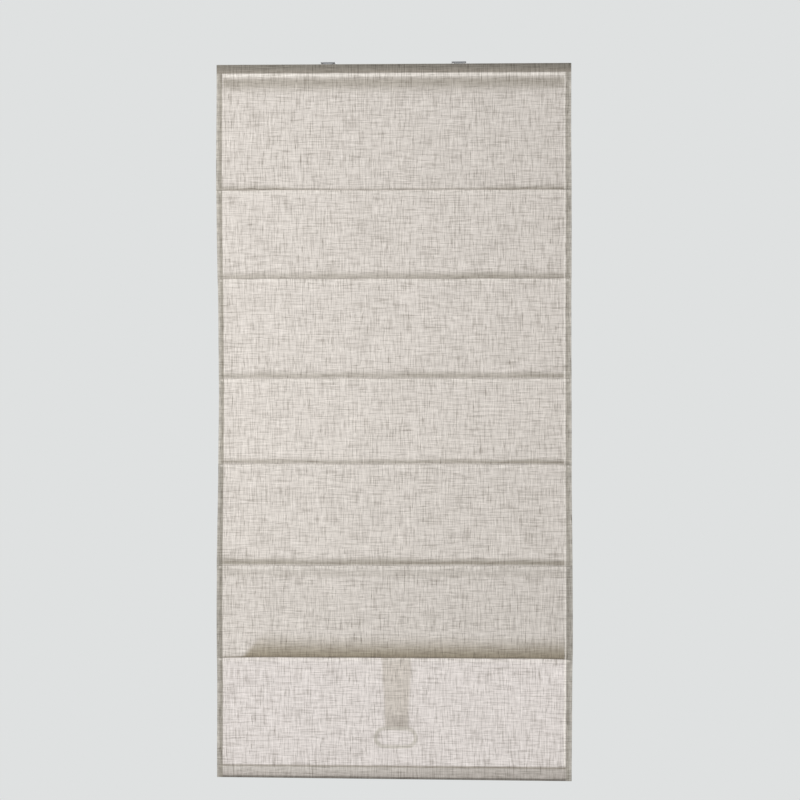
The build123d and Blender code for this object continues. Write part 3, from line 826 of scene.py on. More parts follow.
@dataclass(frozen=True)
class Relief:
    """The unevenness of the hanging cloth: its waves, swells and puckers, in metres."""

    hanging: Hanging
    left: Bow = Bow(5.4 * MM, -0.72)
    right: Bow = Bow(2.8 * MM, -1.24)
    bow_half: float = 0.55
    edge_power: int = 10
    edge_sway: Wave = Wave(0.22, seed=5.0, each=1.0, size=0.5 * MM)
    top_inset: float = 1.4 * MM
    top_inset_foot: float = -0.5
    hem_droop: Span = (2.8 * MM, 5.8 * MM)
    seam_sway: float = 0.6 * MM
    seam_waves: tuple[Wave, Wave] = (Wave(0.17, each=4.1), Wave(0.05, each=9.3, size=0.35))
    end_droop: float = 0.3 * MM
    last_end_droop: float = 1.8 * MM
    end_start: float = 0.3
    belly: float = 1.6 * MM
    belly_mean: float = 0.7
    ripple: float = 0.7 * MM
    crease: float = 0.22 * MM
    crease_mean: float = 0.3
    crease_reach: float = 60.0 * MM
    curl: float = 0.9 * MM
    curl_width: float = 30.0 * MM
    broad: Patches = Patches(0.21, 0.13, each=2.7)
    small: Patches = Patches(0.062, 0.05, seed=11.0, each=1.0)
    puckers: Patches = Patches(0.016, 0.06, seed=31.0)
    swell: float = 3.6 * MM
    swell_height: float = 52.0 * MM
    swell_least: float = 0.35
    swell_rise: float = 0.25
    swell_gone: float = 1.3
    swell_start: float = -0.348
    swell_full: float = -0.285

    def seam_drop(self, seam: int, x: float) -> float:
        """Find how far the foot of a tuck hangs below its batten's line.

        Args:
            seam: Number of the seam.
            x: Place across the blind.

        Returns:
            The distance downwards.
        """
        half = self.hanging.half_width
        if seam == LAST_PANEL:
            left, right = self.hem_droop
            return left + (right - left) * (x / half + 1) / 2
        droop = self.last_end_droop if seam == SEAMS else self.end_droop
        sway = self.seam_sway * (1.0 + sum(wave.read(x, seam) for wave in self.seam_waves))
        return max(sway, 0.0) + droop * smooth(abs(x), self.end_start, half)

    def swelling(self, row: Row, x: float) -> float:
        """Find how far the cloth above the last seam stands out over the fold behind it.

        Args:
            row: The row.
            x: Place across the blind.

        Returns:
            The distance towards the room.
        """
        if row.panel != FOLD_PANEL or row.tucked:
            return 0.0
        opened = smooth(x, self.swell_start, self.swell_full)
        share = row.above / (self.swell_height * (self.swell_least + (1 - self.swell_least) * opened))
        falling = 1 - smooth(share, self.swell_rise, self.swell_gone)
        return self.swell * opened * smooth(share, 0.0, self.swell_rise) * falling

    def billow(self, row: Row, x: float) -> float:
        """Find how far the free cloth stands out towards the room.

        Args:
            row: The row.
            x: Place across the blind.

        Returns:
            The distance, which is negative where the cloth lies back.
        """
        middle = sin(pi * min(max(row.below / (row.below + row.above), 0.0), 1.0))
        drawn = sum(max(0.0, 1 - end / self.crease_reach) for end in (row.above, row.below))
        edge = self.hanging.half_width
        loose = self.belly * middle * (self.belly_mean + self.broad.read(x, row.z, row.panel))
        loose += self.ripple * self.small.read(x, row.z, row.panel)
        loose += self.crease * self.puckers.read(x, row.z) * (self.crease_mean + drawn)
        return row.slack * (loose - self.curl * smooth(abs(x), edge - self.curl_width, edge))

    def place(self, row: Row, x: float, behind: float = 0.0) -> Spot:
        """Find where a point of the cloth hangs.

        Args:
            row: The row that it is in.
            x: Place across the blind.
            behind: Distance behind the middle of the cloth.

        Returns:
            The point.
        """
        side, bow = (Side.RIGHT, self.right) if x > 0 else (Side.LEFT, self.left)
        bowed = bow.size * (1 - smooth(abs(row.z - bow.height), 0.0, self.bow_half))
        bowed -= side.value * self.top_inset * smooth(row.z, self.top_inset_foot, 0.0)
        outer = (abs(x) / self.hanging.half_width) ** self.edge_power
        sway = (self.edge_sway.read(row.z, side.value) + bowed) * outer
        front = self.billow(row, x) + self.swelling(row, x)
        return (x + sway, row.y - front + behind, row.z - row.sag * self.seam_drop(row.seam, x))


@dataclass(frozen=True)
class PaintedLight:
    """The painted shade of the doubled cloth and the seam lines along each seam, and the painted light of
    each panel.
    """

    hanging: Hanging
    # Painted shade of the doubled cloth and the seam lines, and how much it lifts just above each seam's
    # foot, one value for each seam.
    shade_bands: Series = (0.85, 1.0, 1.15, 1.3, 1.6, 0.4, 0.0)
    heights: Series = (0.7, 1.03, 1.08, 0.86, 1.15, 0.8, 1.0)
    lines: Series = (0.6, 0.1, 0.1, 0.15, 0.1, 1.1, 0.0)
    lips: Series = (0.0, 0.0, 0.6, 0.7, 0.85, 0.0, 0.0)
    # Painted light: each panel's brightness, lighter or darker by how the light falls on it.
    panels: Series = (0.957, 0.97, 0.98, 0.99, 0.965, 0.932, 1.06)
    band_wave: Wave = Wave(0.11, seed=13.0, each=7.7, size=0.22)
    height_wave: Wave = Wave(0.09, each=3.3, size=0.16)
    height_mean: float = 1.02
    line_wave: Wave = Wave(0.07, seed=21.0, each=1.0, size=0.3)
    lip_wave: Wave = Wave(0.08, seed=61.0, each=1.0, size=0.3)
    fold_wave: Wave = Wave(0.12, seed=50.0, size=0.1)
    right_gain: float = 0.25
    right_end: float = 0.3
    # Painted light: the cloth darkens towards the right, less so on the last panel.
    side_light_fall: float = 0.068
    last_light_fall: float = 0.2
    fold_height: float = 58.0 * MM
    least_height: float = 2.0 * MM
    # The painted shade is lighter in the middle of the first seam, and the fourth seam's painted line is
    # darker to the right.
    plain_seam: int = 1
    plain_start: Span = (-0.262, -0.192)
    plain_end: Span = (0.15, 0.22)
    plain_dark: float = 0.8
    plain_low: float = 0.55
    drawn_seam: int = 4
    drawn_line: float = 0.7
    drawn_start: Span = (0.2, 0.34)

    def band(self, row: Row, x: float) -> Spot:
        """Find the painted shade of the doubled cloth above a seam.

        Args:
            row: The row.
            x: Place across the blind.

        Returns:
            How dark the doubled cloth's painted shade is, how tall it is, and how dark the seam's painted
            shade line is.
        """
        seam = row.panel
        dark = self.shade_bands[seam - 1] * (1.0 + self.band_wave.read(x, seam))
        dark *= 1.0 + self.right_gain * smooth(x, 0.0, self.right_end)
        tall = self.heights[seam - 1] * self.hanging.tuck_height
        tall *= self.height_mean + self.height_wave.read(x, seam)
        line = self.lines[seam - 1] * (1.0 + self.line_wave.read(x, seam))
        if seam == self.plain_seam:
            middle = smooth(x, *self.plain_start) * (1 - smooth(x, *self.plain_end))
            dark *= 1 - self.plain_dark * middle
            tall *= 1 - self.plain_low * middle
        if seam == self.drawn_seam:
            line += self.drawn_line * smooth(x, *self.drawn_start)
        return max(dark, 0.0), max(tall, self.least_height), max(line, 0.0)

    def fold(self, row: Row, x: float) -> Spot:
        """Find the painted light at the foot of a panel, the height of the heavy fold's painted shade, and
        the panel's painted brightness.

        Args:
            row: The row.
            x: Place across the blind.

        Returns:
            How much the painted shade lifts at the foot, how tall the heavy fold's painted shade is, and the
            painted brightness that the colour is multiplied by.
        """
        part = 1.0 if row.panel < LAST_PANEL else self.last_light_fall
        fall = self.side_light_fall * part * x / self.hanging.half_width
        lip = self.lips[row.panel - 1] * (1.0 + self.lip_wave.read(x, row.panel))
        tall = self.least_height
        if row.panel == FOLD_PANEL and not row.tucked:
            tall = self.fold_height * (1.0 + self.fold_wave.read(x))
        return lip, tall, self.panels[row.panel - 1] * (1.0 - fall)


def lattice(first: int, rows: int, wide: int) -> list[tuple[int, int, int, int]]:
    """List the faces between rows of points."""
    corners = (first + down * wide + over for down in range(rows - 1) for over in range(wide - 1))
    return [(corner, corner + wide, corner + wide + 1, corner + 1) for corner in corners]


def plain_piece(name: str, points: list, faces: list, material: Material) -> Object:
    """Make a piece from points and faces.

    Args:
        name: The piece's name.
        points: Its points, in metres.
        faces: Its faces, as numbers of points.
        material: Its material.

    Returns:
        The piece, with smooth shading.
    """
    mesh = bpy.data.meshes.new(name)
    mesh.from_pydata(points, [], faces)
    mesh.materials.append(material)
    mesh.shade_smooth()
    piece = bpy.data.objects.new(name, mesh)
    bpy.context.scene.collection.objects.link(piece)
    return piece


class Sheet:
    """The middle surface of a piece of cloth, with the values that its points hold."""

    def __init__(self) -> None:
        """Start an empty sheet."""
        self.points: list[Spot] = []
        self.faces: list[tuple[int, ...]] = []
        self.values: dict[str, list[Spot]] = {}

    def add(self, place: Spot, values: dict[str, Spot]) -> None:
        """Add one point.

        Args:
            place: Where it is.
            values: What it holds, by name.
        """
        self.points.append(place)
        for name, value in values.items():
            self.values.setdefault(name, []).append(value)

    def finish(self, name: str, material: Material, thickness: float) -> Object:
        """Make the closed piece, and mark the points that face the room.

        Args:
            name: The piece's name.
            material: The cloth's material.
            thickness: Thickness of the cloth, in metres.

        Returns:
            The piece, with no modifier left on it.
        """
        piece = plain_piece(name, self.points, self.faces, material)
        for key, rows in self.values.items():
            layer = piece.data.attributes.new(key, "FLOAT_VECTOR", "POINT")
            layer.data.foreach_set("vector", [number for row in rows for number in row])
        solid = piece.modifiers.new("thickness", "SOLIDIFY")
        solid.thickness = thickness
        solid.offset = 0.0
        graph = bpy.context.evaluated_depsgraph_get()
        closed = bpy.data.meshes.new_from_object(piece.evaluated_get(graph), depsgraph=graph)
        piece.modifiers.clear()
        piece.data = closed
        closed.shade_smooth()
        facing = closed.attributes.new("cloth_front", "FLOAT", "POINT")
        facing.data.foreach_set("value", [float(vertex.normal.y < 0) for vertex in closed.vertices])
        return piece


@dataclass(frozen=True)
class Stripe:
    """A soft line of painted shade or light in the cloth's colour, along a seam or an edge, in metres from
    it.
    """

    colour: Colour
    middle: float = 0.0
    full: float = 0.0
    gone: float = 0.0
    share: float = 1.0


class ClothPaint(Surface):
    """A cloth material that is painted layer on layer, at places that its mesh holds."""

    def __init__(self, name: str, ground: Colour) -> None:
        """Read the places and start with the ground colour.

        Args:
            name: The material's name.
            ground: The colour that everything is laid over.
        """
        super().__init__(name)
        self.colour: object = ground
        self.flat = self.held("cloth_flat")
        self.across = self.parts(self.flat)[0]
        self.below, self.above, self.panel = self.parts(self.held("cloth_seams"))
        # Painted shade and light that the mesh holds: the doubled cloth's shade, its height and the seam's
        # shade line; the lift above each seam's foot, the height of the heavy fold's shade and each panel's
        # painted brightness.
        self.dark, self.tall, self.line = self.parts(self.held("cloth_bands"))
        self.lip, self.fold, self.tone = self.parts(self.held("cloth_folds"))

    def lay(self, colour: object, *shares: object) -> None:
        """Lay a colour over what is painted so far."""
        self.colour = self.tint(self.product(*shares), self.colour, colour)

    def stripe(self, place: Socket, stripe: Stripe, *shares: object) -> None:
        """Lay a stripe."""
        mask = self.near(place, stripe.middle, stripe.full, stripe.gone)
        self.lay(stripe.colour, mask, stripe.share, *shares)


@dataclass(frozen=True)
class ClothFinish:
    """The slubbed linen look of the shade, with painted shade and shadows of the layers behind it and
    painted highlights.
    """

    name: str
    behind: Behind
    hanging: Hanging
    lit_ground: Colour = (216, 209, 205)
    back_share: float = 0.3
    linen: Linen = Linen()
    # Painted shade of the doubled cloth above each seam, a painted shade line at the seam, a painted shadow
    # of the tuck below the fifth seam, a lighter lip just above the seam's foot, a painted highlight below
    # the seam and painted shade just under it.
    band_share: float = 0.62
    band_full: float = 0.2
    seam_shade_stripe: Stripe = Stripe(SEAM_SHADE_LINE, full=2.0 * MM, gone=4.8 * MM, share=0.6)
    echo_shadow: Stripe = Stripe(DOUBLED_SHADE, 17.0 * MM, full=3.0 * MM, gone=14.0 * MM, share=0.26)
    lip: Stripe = Stripe(GROUND, full=0.8 * MM, gone=4.4 * MM)
    highlight_below_seam: Stripe = Stripe(LIT_EDGE, 5.0 * MM, full=2.0 * MM, gone=6.0 * MM, share=0.25)
    shade_under_seam: Stripe = Stripe(SEAM_SHADE_LINE, gone=2.8 * MM, share=0.12)
    # Painted shade of the heavy fold above the last seam, with a slanting edge at its left end.
    fold_shade: Colour = (157, 147, 129)
    fold_start: float = -0.345
    fold_soft: float = 19.0 * MM
    fold_slant: float = 0.85
    # Painted shade of the doubled side hems, darkest along their inner edge and on the lower panels.
    hem_outer_shade: Colour = (192, 187, 178)
    hem_inner_shade: Colour = (162, 156, 145)
    hem_inner_right_shade: Colour = (173, 167, 157)
    hem_edge: Span = (-1.2 * MM, 1.0 * MM)
    hem_inward: Span = (1.0 * MM, 9.5 * MM)
    hem_share: float = 0.92
    hem_clear: float = 2.0 * MM
    mottle_scale: Spot = (60.0, 90.0, 1.0)
    mottle_range: Span = (0.3, 0.7)
    mottle: Span = (1.12, 0.82)
    low_hem_shade: float = 0.84
    low_panel: float = 5.5
    # Painted highlights: a tick on the hem just below each seam, and a glow beside the hem.
    highlight_tick: Stripe = Stripe(LIT_EDGE, 4.0 * MM, full=1.0 * MM, gone=3.5 * MM, share=0.4)
    tick_across: Spot = (8.0 * MM, 2.0 * MM, 4.0 * MM)
    side_glow: Spot = (2.4 * MM, 0.8 * MM, 2.6 * MM)
    side_glow_shares: Span = (0.12, 0.75)
    # Painted shadow of the headrail seen through the top of the cloth, with a dark line along its top, a
    # painted highlight line under it and a soft painted shade below.
    rail_shadow_top: Colour = (134, 129, 120)
    rail_shadow_foot: Colour = (152, 145, 135)
    rail_shadow_change: Span = (4.0 * MM, 18.0 * MM)
    rail_shadow_edge: Span = (18.0 * MM, 21.0 * MM)
    brink_shade: Stripe = Stripe(HEM_FOOT_SHADE, full=1.0 * MM, gone=3.0 * MM, share=0.8)
    brink_side: Span = (0.0, 0.2)
    rail_glow: Stripe = Stripe(LIT_EDGE, 24.0 * MM, full=1.2 * MM, gone=4.2 * MM, share=0.85)
    trough_shade: Colour = (179, 172, 162)
    trough_start: Span = (23.0 * MM, 37.0 * MM)
    trough_end: Span = (40.0 * MM, 70.0 * MM)
    trough_share: float = 0.95
    inside_edge: float = 4.0 * MM
    # Painted shadows of the strap and the handle's ring behind the last panel.
    strap_shade: Colour = (197, 189, 180)
    strap_end_shade: Colour = (179, 171, 162)
    strap_shift: float = 2.2 * MM
    strap_narrowing: float = 5.5 * MM
    strap_start: float = 0.1
    strap_soft: float = 4.5 * MM
    strap_foot: float = 6.0 * MM
    strap_share: float = 0.85
    loop_height: float = 29.0 * MM
    tail: Span = (-14.0 * MM, 10.0 * MM)
    ring_bar: float = 3.0 * MM
    ring_shadow: Stripe = Stripe((192, 186, 177), full=1.4 * MM, gone=6.5 * MM, share=0.85)
    # Painted shade of the doubled bottom hem, darker low down and towards the right, with painted shade
    # lines along its stitching and at its foot.
    hem_high_shade: Colour = (190, 184, 177)
    hem_low_shade: Colour = (168, 161, 154)
    hem_ends: float = 5.0 * MM
    hem_side: Span = (-0.1, 0.2)
    hem_side_share: float = 0.62
    bottom_share: float = 0.9
    bottom_soft: float = 0.8 * MM
    hem_stitches: Spot = (-0.5 * MM, 1.0 * MM, 3.4 * MM)
    hem_stitch_shade_share: float = 0.5
    foot_shade_line: Stripe = Stripe(HEM_FOOT_SHADE, full=4.5 * MM, gone=7.0 * MM, share=0.85)
    weave_threads: float = 1250.0
    weave_unevenness: float = 0.5
    crossings: Span = (0.87, 1.05)
    blotches: Span = (0.96, 1.04)
    roughness: Span = (0.95, 0.8)
    weave_depth: float = 0.12 * MM
    weave_strength: float = 0.5
    slub_depth: float = 0.22 * MM
    specular: float = 0.15
    sheen: float = 0.08
    sheen_roughness: float = 0.6

    def seams(self, paint: ClothPaint) -> None:
        """Paint the shade of the doubled cloth, the shade line and the highlight at each seam, and the shade
        of the heavy fold over the last.

        Args:
            paint: The cloth's material so far.
        """
        ramp = paint.fade(paint.above, paint.math("MULTIPLY", paint.tall, self.band_full), paint.tall)
        paint.lay(DOUBLED_SHADE, ramp, paint.dark, self.band_share)
        slanted = paint.math("MULTIPLY_ADD", paint.above, -self.fold_slant, paint.across)
        opened = paint.step(slanted, self.fold_start, self.fold_start + self.fold_soft)
        over_fold = paint.math("COMPARE", paint.panel, float(FOLD_PANEL), BETWEEN_PANELS)
        paint.lay(self.fold_shade, paint.fade(paint.above, 0.0, paint.fold), over_fold, opened)
        paint.stripe(paint.above, self.seam_shade_stripe, paint.line)
        paint.stripe(paint.below, self.echo_shadow, over_fold)
        paint.stripe(paint.above, self.lip, paint.lip)
        paint.stripe(paint.below, self.highlight_below_seam)
        paint.stripe(paint.below, self.shade_under_seam)

    def edges(self, paint: ClothPaint) -> None:
        """Paint shade on the side hems, where the cloth is double, darkest along their inner edge, with
        painted highlights below each seam and beside the hems.

        Args:
            paint: The cloth's material so far.
        """
        half, width, tall = self.hanging.half_width, self.hanging.side_hem, self.hanging.bottom_hem
        right = paint.math("GREATER_THAN", paint.across, 0.0)
        inset = paint.math("SUBTRACT", half, paint.math("ABSOLUTE", paint.across))
        inner = paint.tint(right, self.hem_inner_shade, self.hem_inner_right_shade)
        shade = paint.tint(paint.step(inset, *self.hem_inward), self.hem_outer_shade, inner)
        patches = paint.stretched(paint.flat, self.mottle_scale)
        mottle = paint.clouds(patches, lumps=1.0, detail=3.0, rough=0.65)
        shade = paint.times(shade, paint.spread(paint.step(mottle, *self.mottle_range), *self.mottle))
        lowest = paint.math("ADD", right, self.low_panel - 1)
        low = paint.math("GREATER_THAN", paint.panel, lowest)
        shade = paint.times(shade, paint.spread(low, 1.0, self.low_hem_shade))
        highlight_tick = paint.near(paint.below, self.highlight_tick.middle, self.highlight_tick.full, self.highlight_tick.gone)
        shade = paint.tint(
            paint.product(highlight_tick, paint.near(inset, *self.tick_across), self.highlight_tick.share), shade, LIT_EDGE
        )
        first, last = self.hem_edge
        paint.lay(shade, paint.fade(inset, width + first, width + last), self.hem_share)
        clear = paint.math("MAXIMUM", paint.step(paint.above, tall, tall + self.hem_clear),
                           paint.math("LESS_THAN", paint.panel, LAST_PANEL - BETWEEN_PANELS))
        beyond, full, gone = self.side_glow
        paint.stripe(inset, Stripe(LIT_EDGE, width + beyond, full, gone),
                     paint.spread(right, *self.side_glow_shares), clear)

    def top_edge(self, paint: ClothPaint) -> None:
        """Paint the headrail's shadow behind the top edge, a highlight line under it and the soft shade
        below that.

        Args:
            paint: The cloth's material so far.
        """
        below = paint.below
        here = paint.math("LESS_THAN", paint.panel, RAIL_PANEL + BETWEEN_PANELS)
        rail = paint.tint(paint.step(below, *self.rail_shadow_change), self.rail_shadow_top, self.rail_shadow_foot)
        brink_shade = paint.product(paint.fade(below, self.brink_shade.full, self.brink_shade.gone),
                              paint.step(paint.across, *self.brink_side), self.brink_shade.share)
        rail = paint.tint(brink_shade, rail, self.brink_shade.colour)
        paint.lay(rail, paint.fade(below, *self.rail_shadow_edge), here)
        edge = self.hanging.half_width - self.hanging.side_hem
        inside = paint.fade(paint.math("ABSOLUTE", paint.across), edge - self.inside_edge, edge)
        here = paint.product(here, inside)
        trough = paint.product(paint.step(below, *self.trough_start), paint.fade(below, *self.trough_end))
        paint.lay(self.trough_shade, trough, here, self.trough_share)
        paint.stripe(below, self.rail_glow, here)

    def strap_and_ring_shadows(self, paint: ClothPaint, last: Socket) -> None:
        """Paint the shadows that the strap and the handle cast on the last panel.

        Args:
            paint: The cloth's material so far.
            last: Mask of the last panel.
        """
        seam, below = self.hanging.seams[-1], paint.below
        (strap_low, strap_high), (ring_low, ring_high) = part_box("pull_strap"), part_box("pull_handle")
        off = paint.math("SUBTRACT", paint.across, (ring_low[0] + ring_high[0]) / 2)
        beside = paint.math("ABSOLUTE", paint.math("SUBTRACT", off, self.strap_shift))
        loop_top = seam - (ring_high[2] - self.ring_bar) - self.loop_height
        narrow = paint.step(below, self.strap_start * loop_top, loop_top)
        half = paint.math("MULTIPLY_ADD", narrow, -self.strap_narrowing, (strap_high[0] - strap_low[0]) / 2)
        foot = seam - strap_low[2]
        tail = paint.step(below, loop_top + self.tail[0], loop_top + self.tail[1])
        paint.lay(
            paint.tint(tail, self.strap_shade, self.strap_end_shade),
            paint.fade(paint.math("SUBTRACT", beside, half), -self.strap_soft, self.strap_soft),
            paint.fade(below, foot - self.strap_foot, foot), last, self.strap_share,
        )
        bend = (ring_high[2] - ring_low[2]) / 2 - self.ring_bar
        straight = (ring_high[0] - ring_low[0]) / 2 - self.ring_bar - bend
        beyond = paint.math("MAXIMUM", paint.math("SUBTRACT", paint.math("ABSOLUTE", off), straight), 0.0)
        depth = paint.math("SUBTRACT", below, seam - (ring_low[2] + ring_high[2]) / 2)
        square = paint.math("MULTIPLY_ADD", beyond, beyond, paint.math("MULTIPLY", depth, depth))
        away = paint.math("SUBTRACT", paint.math("SQRT", square), bend)
        paint.stripe(away, self.ring_shadow, last)

    def bottom_edge(self, paint: ClothPaint) -> None:
        """Paint the shadows on the last panel, and the shade of its bottom hem.

        Args:
            paint: The cloth's material so far.
        """
        above, tall, soft = paint.above, self.hanging.bottom_hem, self.bottom_soft
        last = paint.math("GREATER_THAN", paint.panel, LAST_PANEL - BETWEEN_PANELS)
        self.strap_and_ring_shadows(paint, last)
        higher = paint.step(above, self.hem_ends, tall - self.hem_ends)
        right = paint.product(paint.step(paint.across, *self.hem_side), self.hem_side_share)
        shade = paint.tint(right, paint.tint(higher, self.hem_low_shade, self.hem_high_shade), self.hem_low_shade)
        paint.lay(shade, paint.fade(above, tall - soft, tall + soft), last, self.bottom_share)
        beyond, full, gone = self.hem_stitches
        paint.stripe(above, Stripe(SEAM_SHADE_LINE, tall + beyond, full, gone, self.hem_stitch_shade_share), last)
        paint.stripe(above, self.foot_shade_line, last)

    def build(self, effects: Effects) -> Material:
        """Make the material.

        Args:
            effects: The shared node groups.

        Returns:
            The material.
        """
        ground = self.lit_ground if self.behind is Behind.STRAP else GROUND
        paint = ClothPaint(self.name, ground)
        if self.behind is Behind.STRAP:
            self.bottom_edge(paint)
        self.seams(paint)
        self.edges(paint)
        if self.behind is Behind.RAIL:
            self.top_edge(paint)
        # The painted shade and light show in full on the face towards the room and only in part on the back.
        facing = paint.spread(paint.held("cloth_front", "Fac"), self.back_share, 1.0)
        colour = paint.tint(facing, ground, paint.colour)
        values = {"Cloth": paint.flat, "Threads": self.weave_threads, "Unevenness": self.weave_unevenness}
        weave = paint.group(effects.weave, values)["Height"]
        colour, slubs = self.linen.lay(effects, paint, paint.flat, colour)
        colour = paint.times(colour, paint.spread(weave, *self.crossings))
        blotch = paint.spread(paint.clouds(paint.flat, lumps=14.0, detail=3.0), *self.blotches)
        fine = paint.bump(weave, self.weave_depth, self.weave_strength)
        paint.set({
            "Base Color": paint.times(colour, paint.math("MULTIPLY", paint.tone, blotch)),
            "Roughness": paint.spread(weave, *self.roughness),
            "Normal": paint.bump(slubs, self.slub_depth, under=fine),
            "Specular IOR Level": self.specular,
            "Sheen Weight": self.sheen,
            "Sheen Roughness": self.sheen_roughness,
        })
        return paint.material


@dataclass(frozen=True)
class StrapFinish:
    """The strap's cloth: the shade's linen, a little greyer and stiffer."""

    ground: Colour = (203, 196, 186)
    linen: Linen = Linen()
    threads: float = 1100.0
    depth: float = 0.15 * MM
    roughness: Span = (0.95, 0.8)
    specular: float = 0.15

    def build(self, effects: Effects) -> Material:
        """Make the material.

        Args:
            effects: The shared node groups.

        Returns:
            The material.
        """
        surface = Surface("strap_linen")
        flat = surface.held("cloth_flat")
        colour, slubs = self.linen.lay(effects, surface, flat, self.ground)
        weave = surface.group(effects.weave, {"Cloth": flat, "Threads": self.threads})["Height"]
        surface.set({
            "Base Color": colour,
            "Roughness": surface.spread(weave, *self.roughness),
            "Normal": surface.bump(surface.math("ADD", weave, slubs), self.depth),
            "Specular IOR Level": self.specular,
        })
        return surface.material


@dataclass(frozen=True)
class Stitch:
    """One stitch: its middle, its direction and which way it stands out."""

    middle: Vector
    direction: Vector
    way: float


@dataclass(frozen=True)
class Length:
    """One length of the cloth that moves as one piece."""

    name: str
    panels: tuple[int, ...]
    upper_body: str
    lower_body: str
    behind: Behind
    rests_on: tuple[str, ...]


LENGTHS = (
    Length("shade_cloth_1", (1, 2), "headrail", "rib_1", Behind.RAIL, ("loop_tape", "batten_1")),
    Length("shade_cloth_2", (3, 4), "rib_1", "rib_2", Behind.NOTHING, ("batten_2", "batten_3")),
    Length("shade_cloth_3", (5, 6), "rib_2", "rib_3", Behind.NOTHING, ("batten_4", "batten_5")),
    Length("shade_cloth_4", (7,), "rib_3", "rib_3", Behind.STRAP, ("batten_6", "hem_rod")),
)


